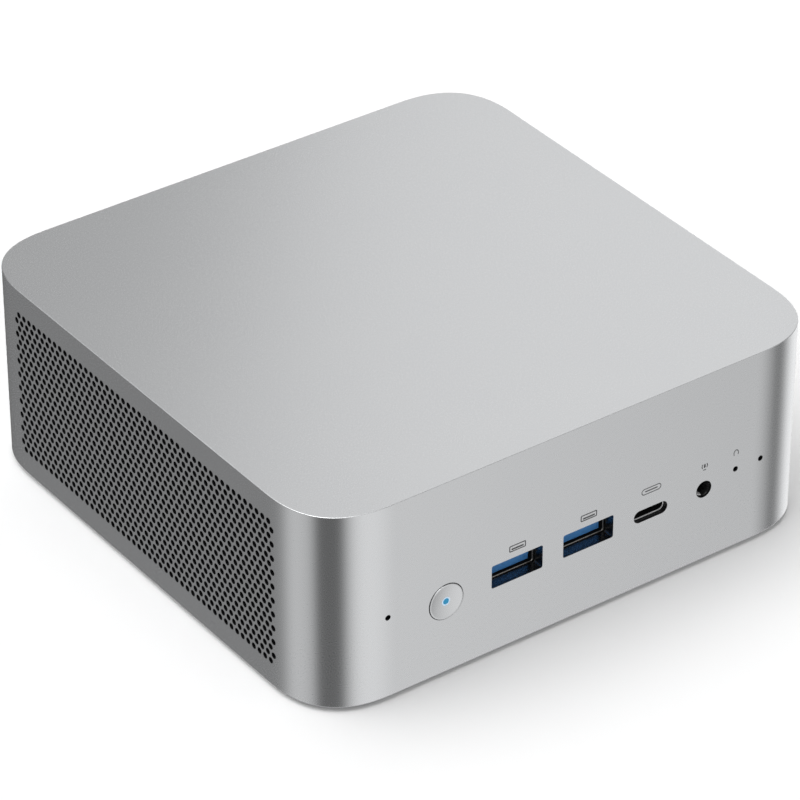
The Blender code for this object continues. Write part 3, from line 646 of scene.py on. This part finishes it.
class Levels:
    """Points and normals of the case: the wall's outer and inner corners, then ring after ring."""

    def __init__(self, wall, corners):
        flat = np.array(corners)
        inner_heights = np.clip(flat[:, 1], low.z + LIP_HEIGHT, high.z - ROOF)
        self.wall = wall
        self.spots = [wall.place(flat[:, 0], flat[:, 1], 0.0), wall.place(flat[:, 0], inner_heights, WALL)]
        self.normals = [wall.normal(flat[:, 0]), np.zeros((len(flat), 3))]
        self.total = 2 * len(flat)

    def ring(self, height, inset, lift=0.0):
        """Add the case's outline at a height; lift tips its normals up or down."""
        rounds = self.wall.rounds[:-1]
        self.spots.append(self.wall.place(rounds, np.full(len(rounds), height), inset))
        tipped = self.wall.normal(rounds) * math.cos(lift)
        tipped[:, 2] = math.sin(lift)
        self.normals.append(tipped)
        self.total += len(rounds)
        return list(range(self.total - len(rounds), self.total))

    def round_edge(self, ring, height, radius, side):
        """Turn the wall's end into the top (side 1) or the bottom (-1); gives the last ring and the skin."""
        faces = []
        for step in range(1, EDGE_STEPS + 1):
            turn = step / EDGE_STEPS * math.pi / 2
            new_height = height + side * radius * math.sin(turn)
            following = self.ring(new_height, radius * (1 - math.cos(turn)), side * turn)
            faces += join(ring, following) if side > 0 else join(following, ring)
            ring = following
        return ring, faces


def join(lower, upper):
    """Skin between two rings, the upper one following the lower one outside."""
    count = len(lower)
    return [[lower[i], lower[(i + 1) % count], upper[(i + 1) % count], upper[i]] for i in range(count)]


def make_case():
    """One-piece case: bored walls, rounded top and bottom edges, roof, inside skin and lip."""
    wall = Wall()
    cut_case_holes(wall)
    corners, skin, owner = wall_skin(wall)
    bored = bored_faces(wall, skin, owner)
    levels = Levels(wall, corners)
    count, columns = len(corners), len(wall.rounds)
    bottom_ring = list(range(columns - 1))
    top_ring = [2 * columns - 1 - i for i in range(columns - 1)]
    roof, top_faces = levels.round_edge(top_ring, wall.top, TOP_EDGE, 1)
    sole, bottom_faces = levels.round_edge(bottom_ring, wall.bottom, BOTTOM_EDGE, -1)
    lip = levels.ring(low.z, LIP_WALL)
    step_up = levels.ring(low.z + LIP_HEIGHT, LIP_WALL)
    outer_faces = skin + top_faces + [roof] + bottom_faces
    edge_faces = bored["plain"] + join(lip, sole) + join(step_up, lip)
    inner_faces = [[corner + count for corner in reversed(face)] for face in skin]
    inner_faces += join([corner + count for corner in bottom_ring], step_up)
    inner_faces.append([corner + count for corner in reversed(top_ring)])
    # slot 1 (inner skin), slot 2 (USB-A reveals) and slot 3 (other reveals) carry painted shade
    groups = [(outer_faces, 0, True), (edge_faces, 0, False), (inner_faces, 1, False),
              (bored["vent"], 3, False), (bored["mouth"], 2, False)]
    write_case(np.concatenate(levels.spots), np.concatenate(levels.normals), groups)


def write_case(spots, normals, groups):
    """Make the case's mesh, with exact normals on its smooth groups of faces."""
    faces = [face for group, _, _ in groups for face in group]
    used = np.unique(np.concatenate([np.array(face) for face in faces]))
    renumber = np.zeros(len(spots), dtype=int)
    renumber[used] = np.arange(len(used))
    spots, normals = spots[used], normals[used]
    faces = [renumber[face].tolist() for face in faces]
    data = bpy.data.meshes.new("case_shell")
    data.from_pydata(spots.tolist(), [], faces)
    # inside, mouth and bore are painted shade in the walls and openings
    for finish in ("case", "inside", "mouth", "bore"):
        data.materials.append(materials[finish])
    slots = np.concatenate([np.full(len(group), slot) for group, slot, _ in groups])
    smooth = np.concatenate([np.full(len(group), flag) for group, _, flag in groups])
    data.polygons.foreach_set("material_index", slots.astype(np.int32))
    data.polygons.foreach_set("use_smooth", smooth)
    loop_corners = np.concatenate([np.array(face) for face in faces])
    loop_smooth = np.repeat(smooth, [len(face) for face in faces])
    loop_normals = np.where(loop_smooth[:, None], normals[loop_corners], 0.0)
    data.normals_split_custom_set(loop_normals.tolist())
    add_piece("case_shell", data, ["housing_shell"])


def make_dust_screens():
    """Dust filter sheet close behind each side's vents; its near-black colour is painted shade inside the
    holes.
    """
    sheet = rounded((VENT_LONG_ROW + 1) * VENT_PITCH, (VENT_ROWS + 1) * VENT_ROW_PITCH, SCREEN_CORNER)
    reach = high.x - WALL - SCREEN_GAP
    for side, x in (("left", -reach), ("right", reach)):
        mesh = slab(sheet, [], [(0.0, EDGE), (EDGE, 0.0), (SCREEN_THICKNESS, 0.0)])
        place = facing(side, (x, 0.0, low.z + VENT_MIDDLE))
        finish_piece(f"dust_screen_{side}", mesh, place, ["screen"])


# Front

def make_power_button():
    """Dished cap with a rim slightly proud of the case, and a frosted light in its middle."""
    spot = middle_of("power_button")
    place = facing("front", (spot.x, low.y, spot.z))
    radius = BUTTON_HOLE - BUTTON_GAP
    flat = radius - DISH_EDGE
    cap = [(0.0, CAP_WELL), (LIGHT_RADIUS, CAP_WELL)]
    for step in range(DISH_STEPS + 1):
        across = LIGHT_RADIUS + (flat - LIGHT_RADIUS) * step / DISH_STEPS
        rise = DISH_MIDDLE + (DISH_LIP - DISH_MIDDLE) * (across / flat) ** 2
        cap.append((across, -rise))
    for step in range(1, EDGE_STEPS + 1):
        turn = step / EDGE_STEPS * math.pi / 2
        cap.append((flat + DISH_EDGE * math.sin(turn), DISH_EDGE * (1 - math.cos(turn)) - DISH_LIP))
    cap += [(radius, CAP_DEPTH), (CAP_FLANGE[0], CAP_DEPTH), CAP_FLANGE, (CAP_STEM[0], CAP_FLANGE[1]),
            CAP_STEM, (0.0, CAP_STEM[1])]
    finish_piece("button_cap", lathe(cap, 96), place, ["case"], ["power_button"],
                 "power_button")

    core = LIGHT_RADIUS - LIGHT_RIM
    lens = [(0.0, LIGHT_DEPTH), (core, LIGHT_DEPTH), (core, -DISH_MIDDLE),
            (0.4 * core, -DISH_MIDDLE - LIGHT_CROWN[0]), (0.0, -DISH_MIDDLE - LIGHT_CROWN[1])]
    finish_piece("button_light", lathe(lens, 40), place, ["light"], ["power_lens"],
                 "power_button")
    rim = lathe(tube(core, LIGHT_RADIUS, -DISH_MIDDLE, LIGHT_DEPTH), 40)
    finish_piece("button_light_rim", rim, place, ["light_rim"], body="power_button")


def tube(inner, outer, near, far):
    """Closed profile of a ring between two radii and two depths."""
    return [(inner, far), (outer, far), (outer, near), (inner, near), (inner, far)]


def outer_face(node, direction):
    """Placement at the middle of a node's front or back face, and the node's depth behind it."""
    lowest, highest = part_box(node)
    spot = middle_of(node)
    spot.y = lowest.y if direction == "front" else highest.y
    return facing(direction, spot), highest.y - lowest.y


def make_shell(name, node, direction, shell, pockets, metal, reach=0.0):
    """Sheet metal tube of a connector, with a rolled edge; reach brings it forward of its node."""
    place, length = outer_face(node, direction)
    mesh = slab(shell, pockets, [(-reach, EDGE), (EDGE - reach, 0.0), (length, 0.0)])
    # the pocket's walls get the near-black inside finish: painted shade in the connector
    finish_piece(name, mesh, place, [metal, "inside"], [node],
                 picker=lambda face: 0 if abs(face.normal.y) > 0.3 else 1)


def make_insert(name, node, direction, tongue, block, floor, finish):
    """Tongue with a bevelled front, on a block that closes the connector from a depth on."""
    place, length = outer_face(node, direction)
    inset, depth = TONGUE_BEVEL
    mesh = slab(tongue, [], [(0.0, inset), (depth, 0.0), (length, 0.0)])
    slab(block, [], [(floor, 0.0), (length + depth, 0.0)], mesh)
    finish_piece(name, mesh, place, [finish], [node])


def make_contacts(name, node, direction, row, side):
    """Row of flat contacts on a tongue's upper face (side 1) or lower face (-1)."""
    count, pitch, width = row
    place, _ = outer_face(node, direction)
    lowest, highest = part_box(node)
    rise = side * (highest.z - lowest.z) / 2
    start, end = CONTACT_SPAN
    inset, depth = CONTACT_BEVEL
    mesh = bmesh.new()
    for across in spaced(count, pitch):
        strip = rounded(width, CONTACT_HEIGHT, CONTACT_CORNER, (across, rise), 2)
        slab(strip, [], [(start, inset), (start + depth, 0.0), (end, 0.0)], mesh)
    finish_piece(name, mesh, place, ["gold"])


def make_front_ports():
    """Two USB-A ports, a USB-C port and the audio jack."""
    width, height, radius = USB_A_TONGUE
    tongue = rounded(width, height + TONGUE_DROP, radius, (0.0, -TONGUE_DROP / 2))
    block = rounded(*USB_A_BLOCK, (0.0, TONGUE_RISE))
    for side in ("left", "right"):
        make_shell(f"usb_a_shell_{side}", f"usb_a_front_{side}", "front", rounded(*USB_A_SHELL),
                   [rounded(*USB_A_POCKET)], "port")
        node = f"usb_tongue_front_{side}"
        make_insert(f"usb_a_tongue_{side}", node, "front", tongue, block, USB_A_FLOOR, "blue")
        make_contacts(f"usb_a_contacts_{side}", node, "front", USB_A_CONTACTS, 1)
    make_usb_c("front", USB_C_REACH)
    make_audio_jack()


def make_usb_c(direction, reach):
    """USB-C connector: an obround tube and a thin tongue with contacts on both faces."""
    name = {"front": "front", "back": "rear"}[direction]
    # the shell's pale finish paints a highlight on its rim
    make_shell(f"usb_c_shell_{name}", f"usb_c_{name}", direction, rounded(*USB_C_SHELL, steps=10),
               [rounded(*USB_C_POCKET, steps=10)], "bright", reach)
    node = f"usb_c_tongue_{name}"
    make_insert(f"usb_c_insert_{name}", node, direction, rounded(*USB_C_TONGUE),
                rounded(*USB_C_BLOCK, steps=10), USB_C_FLOOR, "dark")
    for level, side in (("upper", 1), ("lower", -1)):
        make_contacts(f"usb_c_contacts_{name}_{level}", node, direction, USB_C_CONTACTS, side)


def make_audio_jack():
    """Audio jack: a body behind the wall, a bored nose in the opening, and a sprung contact."""
    lowest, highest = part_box("audio_jack")
    spot = middle_of("audio_jack")
    spot.y = low.y
    start, end = lowest.y - low.y, highest.y - low.y
    bore = circle(JACK_BORE, 40)
    mesh = slab(rounded(*JACK_BODY), [bore], [(start, EDGE), (start + EDGE, 0.0), (end, 0.0)])
    slab(circle(AUDIO_MOUTH - AUDIO_GAP, 40), [bore],
         [(JACK_NOSE, EDGE), (JACK_NOSE + 1.5 * EDGE, 0.0), (start + 3 * EDGE, 0.0)], mesh)
    slab(circle(JACK_BORE + EDGE, 40), [], [(end - JACK_FLOOR, 0.0), (end - EDGE, 0.0)], mesh)
    place = facing("front", spot)
    finish_piece("audio_jack_body", mesh, place, ["dark"], ["audio_jack"])
    width, height, radius = JACK_LEAF
    leaf = rounded(width, height, radius, (0.0, radius - JACK_BORE), 3)
    near, far = JACK_LEAF_SPAN
    mesh = slab(leaf, [], [(near, 1.5 * EDGE), (near + 3 * EDGE, 0.0), (far, 0.0)])
    turned = place @ Matrix.Rotation(JACK_LEAF_TURN, 4, "Z")
    # the contact's pale finish is a painted highlight inside the jack
    finish_piece("audio_jack_contact", mesh, turned, ["bright"])


def band(radius, width, start, end, middle, tall=1.0):
    """Outline of a bent strip between two angles in degrees; tall stretches it upwards."""
    turns = [math.radians(start + (end - start) * i / BAND_STEPS) for i in range(BAND_STEPS + 1)]
    outer = [(radius + width / 2, turn) for turn in turns]
    inner = [(radius - width / 2, turn) for turn in reversed(turns)]
    return [(middle[0] + r * math.cos(t), middle[1] + tall * r * math.sin(t)) for r, t in outer + inner]


def plug_mark(node, mark):
    """Pictogram of a connector's mouth with a bar in it, as outlines and their holes."""
    x = middle_of(node).x
    rim, hole, bar, bar_height = mark
    return [(rounded(*rim, (x, 0.0)), [rounded(*hole, (x, 0.0))]), (rounded(*bar, (x, bar_height)), [])]


def make_marks():
    """Plain printed pictograms over the front connectors and the reset hole."""
    marks = plug_mark("usb_a_front_left", USB_A_MARK)
    marks += plug_mark("usb_a_front_right", USB_A_MARK)
    marks += plug_mark("usb_c_front", USB_C_MARK)
    x = middle_of("audio_jack").x
    head_height, foot_height = MICROPHONE_HEIGHTS
    marks.append((rounded(*MICROPHONE_HEAD, (x, head_height)), []))
    marks.append((rounded(*MICROPHONE_FOOT, (x, foot_height)), []))
    for turn in (0, 180):
        marks.append((band(*MICROPHONE_WAVE, turn - 45, turn + 45, (x, head_height)), []))
    x = middle_of("reset_plunger").x
    marks.append((band(*ARCH, -35, 215, (x, 0.0), tall=ARCH_STRETCH), []))
    mesh = bmesh.new()
    for outline, holes in marks:
        slab(outline, holes, [(-INK, 0.0), (INK_ROOT, 0.0)], mesh)
    place = facing("front", (0.0, low.y, low.z + MARK_HEIGHT))
    finish_piece("port_marks", mesh, place, ["ink"])


# Rear

def make_rear_panel():
    """Port plate with bevelled cut-outs and exhaust slots, and the flange behind its edge."""
    lowest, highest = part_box("rear_panel")
    spot = middle_of("rear_panel")
    holes = []
    for node, radius in PANEL_PORTS.items():
        corner, far_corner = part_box(node)
        middle = middle_of(node)
        width = far_corner.x - corner.x + 2 * PANEL_GAP
        height = far_corner.z - corner.z + 2 * PANEL_GAP
        holes.append(rounded(width, height, radius, (middle.x - spot.x, middle.z - spot.z), 8))
    jack = middle_of("dc_jack")
    holes.append(circle(INLET_NOSE[0] + PANEL_GAP, 48, (jack.x - spot.x, jack.z - spot.z)))
    for across in spaced(EXHAUST_SLOTS, EXHAUST_PITCH):
        holes.append(rounded(*EXHAUST_SLOT, (across, low.z + EXHAUST_HEIGHT - spot.z), 8))
    width, height = highest.x - lowest.x, highest.z - lowest.z
    face = rounded(width - 2 * PANEL_OVERLAP, height - 2 * PANEL_OVERLAP, PANEL_RADII[1])
    flange = rounded(width, height, PANEL_RADII[2])
    mesh = slab(face, holes, [(0.0, PANEL_EDGE), (PANEL_EDGE, 0.0), (PANEL_FACE, 0.0)])
    slab(flange, holes, [(PANEL_FACE - EDGE, 0.0), (highest.y - lowest.y, 0.0)], mesh)
    spot.y = highest.y
    finish_piece("rear_port_plate", mesh, facing("back", spot), ["black"],
                 ["rear_panel"])


def make_rear_ports():
    """Power inlet, USB-C, two video ports, the network port and a stack of two USB-A ports."""
    make_usb_c("back", 0.0)
    for side in ("left", "right"):
        make_video_port(side)
    make_network_port()
    make_usb_stack()
    make_power_inlet()


def trapezium(width, height, cut):
    """Outline of a video port: a rectangle with its two lower corners cut off."""
    x, y = width / 2, height / 2
    return [(cut - x, -y), (x - cut, -y), (x, cut - y), (x, y), (-x, y), (-x, cut - y)]


def make_video_port(side):
    """Video port: a tube whose lower corners are cut off, and a tongue with contacts under it."""
    make_shell(f"video_shell_{side}", f"hdmi_port_{side}", "back", trapezium(*VIDEO_SHELL),
               [trapezium(*VIDEO_POCKET)], "port")
    node = f"hdmi_tongue_{side}"
    block = [(x, y - VIDEO_DROP) for x, y in trapezium(*VIDEO_BLOCK)]
    make_insert(f"video_insert_{side}", node, "back", rounded(*VIDEO_TONGUE), block, VIDEO_FLOOR, "dark")
    make_contacts(f"video_contacts_{side}", node, "back", VIDEO_CONTACTS, -1)


def network_pocket():
    """Outline of the network port: a wide pocket over a slot for the latch."""
    side, lower, upper = NETWORK_BODY
    latch, bottom = NETWORK_LATCH
    return [(-side, lower), (-latch, lower), (-latch, bottom), (latch, bottom), (latch, lower),
            (side, lower), (side, upper), (-side, upper)]


def make_network_port():
    """Network port: stepped pocket, eight sprung contacts and two lamps."""
    place, length = outer_face("network_port", "back")
    pocket = network_pocket()
    lamps = [rounded(*LAMP, (side * LAMP_SPOT[0], LAMP_SPOT[1])) for side in (-1, 1)]
    mesh = slab(rounded(*NETWORK_SHELL), [pocket] + lamps, [(0.0, EDGE), (EDGE, 0.0), (length, 0.0)])
    finish_piece("network_shell", mesh, place, ["port"], ["network_port"])
    mesh = slab(shrink(pocket, -EDGE), [], [(NETWORK_FLOOR, 0.0), (length - 2 * EDGE, 0.0)])
    finish_piece("network_floor", mesh, place, ["dark"])
    mesh = bmesh.new()
    for lamp in lamps:
        slab(shrink(lamp, LAMP_GAP), [], [(1.5 * EDGE, EDGE), (2.5 * EDGE, 0.0), (LAMP_DEPTH, 0.0)], mesh)
    finish_piece("network_lamps", mesh, place, ["amber"])
    mesh = bmesh.new()
    near, far = NETWORK_CONTACT_SPAN
    for across in spaced(*NETWORK_CONTACTS):
        strip = rounded(*NETWORK_CONTACT, (across, NETWORK_CONTACT_HEIGHT), 3)
        slab(strip, [], [(near, EDGE / 2), (near + EDGE, 0.0), (far, 0.0)], mesh)
    finish_piece("network_contacts", mesh, place, ["gold"])


def make_usb_stack():
    """Two USB-A ports in one shell, one over the other."""
    place, length = outer_face("usb_a_rear", "back")
    middle = middle_of("usb_a_rear").z
    nodes = {name: f"usb_tongue_rear_{name}" for name in ("lower", "upper")}
    levels = [middle_of(node).z - TONGUE_RISE - middle for node in nodes.values()]
    pockets = [rounded(*USB_A_POCKET, (0.0, level)) for level in levels]
    mesh = slab(rounded(*USB_STACK_SHELL), pockets, [(0.0, EDGE), (EDGE, 0.0), (length, 0.0)])
    finish_piece("usb_stack_shell", mesh, place, ["port"], ["usb_a_rear"])
    for name, node in nodes.items():
        make_insert(f"usb_stack_tongue_{name}", node, "back", rounded(*USB_A_TONGUE),
                    rounded(*USB_A_BLOCK, (0.0, -TONGUE_RISE)), USB_A_FLOOR, "blue")
        make_contacts(f"usb_stack_contacts_{name}", node, "back", USB_A_CONTACTS, -1)


def make_power_inlet():
    """Barrel inlet: a bored nose, the body behind it, and a steel pin."""
    place, length = outer_face("dc_jack", "back")
    bore, floor = INLET_BORE
    funnel, funnel_depth = INLET_FUNNEL
    nose, shoulder = INLET_NOSE
    mesh = lathe([(0.0, floor), (bore, floor), (bore, funnel_depth), (funnel, 0.0),
                  (nose - 2 * EDGE, 0.0), (nose, 2 * EDGE), (nose, shoulder), (INLET_BODY, shoulder),
                  (INLET_BODY, length), (0.0, length)], 64)
    finish_piece("inlet_body", mesh, place, ["dark"], ["dc_jack"])
    pin, tip = INLET_PIN
    mesh = lathe([(0.0, floor + EDGE), (pin, floor + EDGE), (pin, tip + 3 * EDGE), (pin - 3 * EDGE, tip),
                  (0.0, tip)], 32)
    finish_piece("inlet_pin", mesh, place, ["port"])


# Underside

def make_base():
    """Base cover with intake slots, four grooved rubber feet and four screws."""
    lowest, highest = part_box("base_cover")
    plan = [tuple(spot) for spot in case_plan()[0][:-1]]
    holes = []
    for across in spaced(INTAKE_SLOTS, INTAKE_PITCH):
        holes += [rounded(*INTAKE_SLOT, (across, side * INTAKE_Y), 6) for side in (-1, 1)]
    corners = [f"{end}_{side}" for end in ("front", "rear") for side in ("left", "right")]
    for corner in corners:
        foot, screw = middle_of(f"foot_{corner}"), middle_of(f"base_screw_{corner}")
        holes.append(circle(FOOT_HOLE, 64, (foot.x, foot.y)))
        holes.append(circle(SCREW_HOLE, 40, (screw.x, screw.y)))
    mesh = slab(shrink(plan, high.x - highest.x), holes,
                [(0.0, BASE_EDGE), (BASE_EDGE, 0.0), (highest.z - lowest.z, 0.0)])
    finish_piece("base_plate", mesh, facing("bottom", (0.0, 0.0, lowest.z)), ["black"],
                 ["base_cover"])
    for corner in corners:
        make_foot(corner)
        make_screw(corner)


def make_foot(corner):
    """Rubber foot with a ring groove in its sole and a bevelled edge."""
    spot = middle_of(f"foot_{corner}")
    place = facing("bottom", (spot.x, spot.y, 0.0))
    finish_piece(f"rubber_foot_{corner}", lathe(FOOT_PROFILE, 72), place, ["rubber"],
                 [f"foot_{corner}"])


def make_screw(corner):
    """Screw head with a six-sided recess, its shank, and the cover's ring that it clamps."""
    node = f"base_screw_{corner}"
    spot = middle_of(node)
    place = facing("bottom", (spot.x, spot.y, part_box(node)[0].z))
    head, thickness = SCREW_HEAD
    recess, recess_depth = SCREW_RECESS
    shank, end = SCREW_SHANK
    mesh = slab(circle(head, 48), [circle(recess, 6)],
                [(0.0, SCREW_EDGE), (SCREW_EDGE, 0.0), (recess_depth, 0.0)])
    floor = recess_depth - EDGE / 2
    lathe([(0.0, floor), (head, floor), (head, thickness), (shank, thickness), (shank, end), (0.0, end)],
          48, mesh)
    finish_piece(f"cover_screw_{corner}", mesh, place, ["steel"], [node])
    ring = lathe(tube(*SCREW_SEAT, *SCREW_SEAT_SPAN), 40)
    finish_piece(f"screw_seat_{corner}", ring, place, ["black"])


def dress_insides():
    """Give every CAD piece that still shows its own finish."""
    for subpart in frame["record"]["subparts"]:
        node = frame["nodes"][subpart["node"]]
        for slot in node.material_slots:
            slot.material = materials[SLOT_FINISHES[subpart["material_slot"]]]


# Stage

def make_camera():
    """Long lens, from above at the front left."""
    back = Vector((math.sin(VIEW_AZIMUTH) * math.cos(VIEW_ELEVATION),
                   -math.cos(VIEW_AZIMUTH) * math.cos(VIEW_ELEVATION), math.sin(VIEW_ELEVATION)))
    right = Vector((math.cos(VIEW_AZIMUTH), math.sin(VIEW_AZIMUTH), 0.0))
    up = back.cross(right)
    data = bpy.data.cameras.new("camera")
    data.lens = LENS
    data.sensor_width = SENSOR
    data.clip_end = 20.0
    camera = add_object("camera", data)
    spot = Vector((0, 0, low.z)) + back * VIEW_DISTANCE + right * VIEW_OFFSET[0] + up * VIEW_OFFSET[1]
    camera.matrix_world = Matrix.Translation(spot) @ Matrix((right, up, back)).transposed().to_4x4()
    bpy.context.scene.camera = camera


def make_soft_box():
    """Square soft light aimed at the middle of the stage."""
    spot = heading(SOFT_BOX["azimuth"], SOFT_BOX["elevation"]) * SOFT_BOX["distance"]
    data = bpy.data.lights.new("soft_box", "AREA")
    data.size = SOFT_BOX["size"]
    data.energy = SOFT_BOX["power"]
    light = add_object("soft_box", data)
    light.location = spot
    light.rotation_euler = (-spot).to_track_quat("-Z", "Y").to_euler()


def make_stage():
    """Pale floor, surroundings and soft light."""
    data = bpy.data.meshes.new("floor")
    corners = [(i * FLOOR_REACH, j * FLOOR_REACH, 0) for i, j in ((-1, -1), (1, -1), (1, 1), (-1, 1))]
    data.from_pydata(corners, [], [(0, 1, 2, 3)])
    material, shader = new_material("floor_paper")
    tree = material.node_tree
    tree.links.new(tint(tree, noise(tree, FLOOR_GRAIN), *FLOOR_TONES), shader.inputs["Base Color"])
    shader.inputs["Roughness"].default_value = FLOOR_ROUGHNESS
    data.materials.append(material)
    floor = add_object("floor", data)
    floor.visible_glossy = False
    make_surroundings()
    make_soft_box()
    bpy.context.scene.view_settings.view_transform = "Standard"


def heading(azimuth, elevation):
    """Direction from the middle of the stage; azimuth 0 is the front and 90 the right side."""
    turn, rise = math.radians(azimuth), math.radians(elevation)
    return Vector((math.sin(turn) * math.cos(rise), -math.cos(turn) * math.cos(rise), math.sin(rise)))


def make_surroundings():
    """Dim room with soft glows in some directions, behind a plain pale backdrop."""
    world = bpy.data.worlds.new("surroundings")
    bpy.context.scene.world = world
    world.use_nodes = True
    tree = world.node_tree
    coordinates = tree.nodes.new("ShaderNodeTexCoord")
    total = None
    for azimuth, elevation, width, strength in GLOWS:
        toward = tree.nodes.new("ShaderNodeVectorMath")
        toward.operation = "DOT_PRODUCT"
        toward.inputs[1].default_value = heading(azimuth, elevation)
        tree.links.new(coordinates.outputs["Generated"], toward.inputs[0])
        glow = tree.nodes.new("ShaderNodeMapRange")
        glow.interpolation_type = "SMOOTHSTEP"
        glow.inputs["From Min"].default_value = math.cos(math.radians(width))
        glow.inputs["To Max"].default_value = strength
        tree.links.new(toward.outputs["Value"], glow.inputs["Value"])
        sum_node = tree.nodes.new("ShaderNodeMath")
        sum_node.operation = "ADD"
        sum_node.inputs[1].default_value = ROOM
        tree.links.new(glow.outputs["Result"], sum_node.inputs[0])
        if total:
            tree.links.new(total, sum_node.inputs[1])
        total = sum_node.outputs["Value"]
    paths = tree.nodes.new("ShaderNodeLightPath")
    seen = tree.nodes.new("ShaderNodeMix")
    seen.inputs["B"].default_value = BACKDROP
    tree.links.new(paths.outputs["Is Camera Ray"], seen.inputs["Factor"])
    tree.links.new(total, seen.inputs["A"])
    tree.links.new(seen.outputs["Result"], tree.nodes["Background"].inputs["Strength"])
    tree.nodes["Background"].inputs["Color"].default_value = (1.0, 1.0, 1.0, 1.0)


def main():
    """Build the looks and the stage."""
    make_materials()
    make_camera()
    make_stage()
    dress_insides()
    make_case()
    make_dust_screens()
    make_power_button()
    make_front_ports()
    make_marks()
    make_rear_panel()
    make_rear_ports()
    make_base()


main()
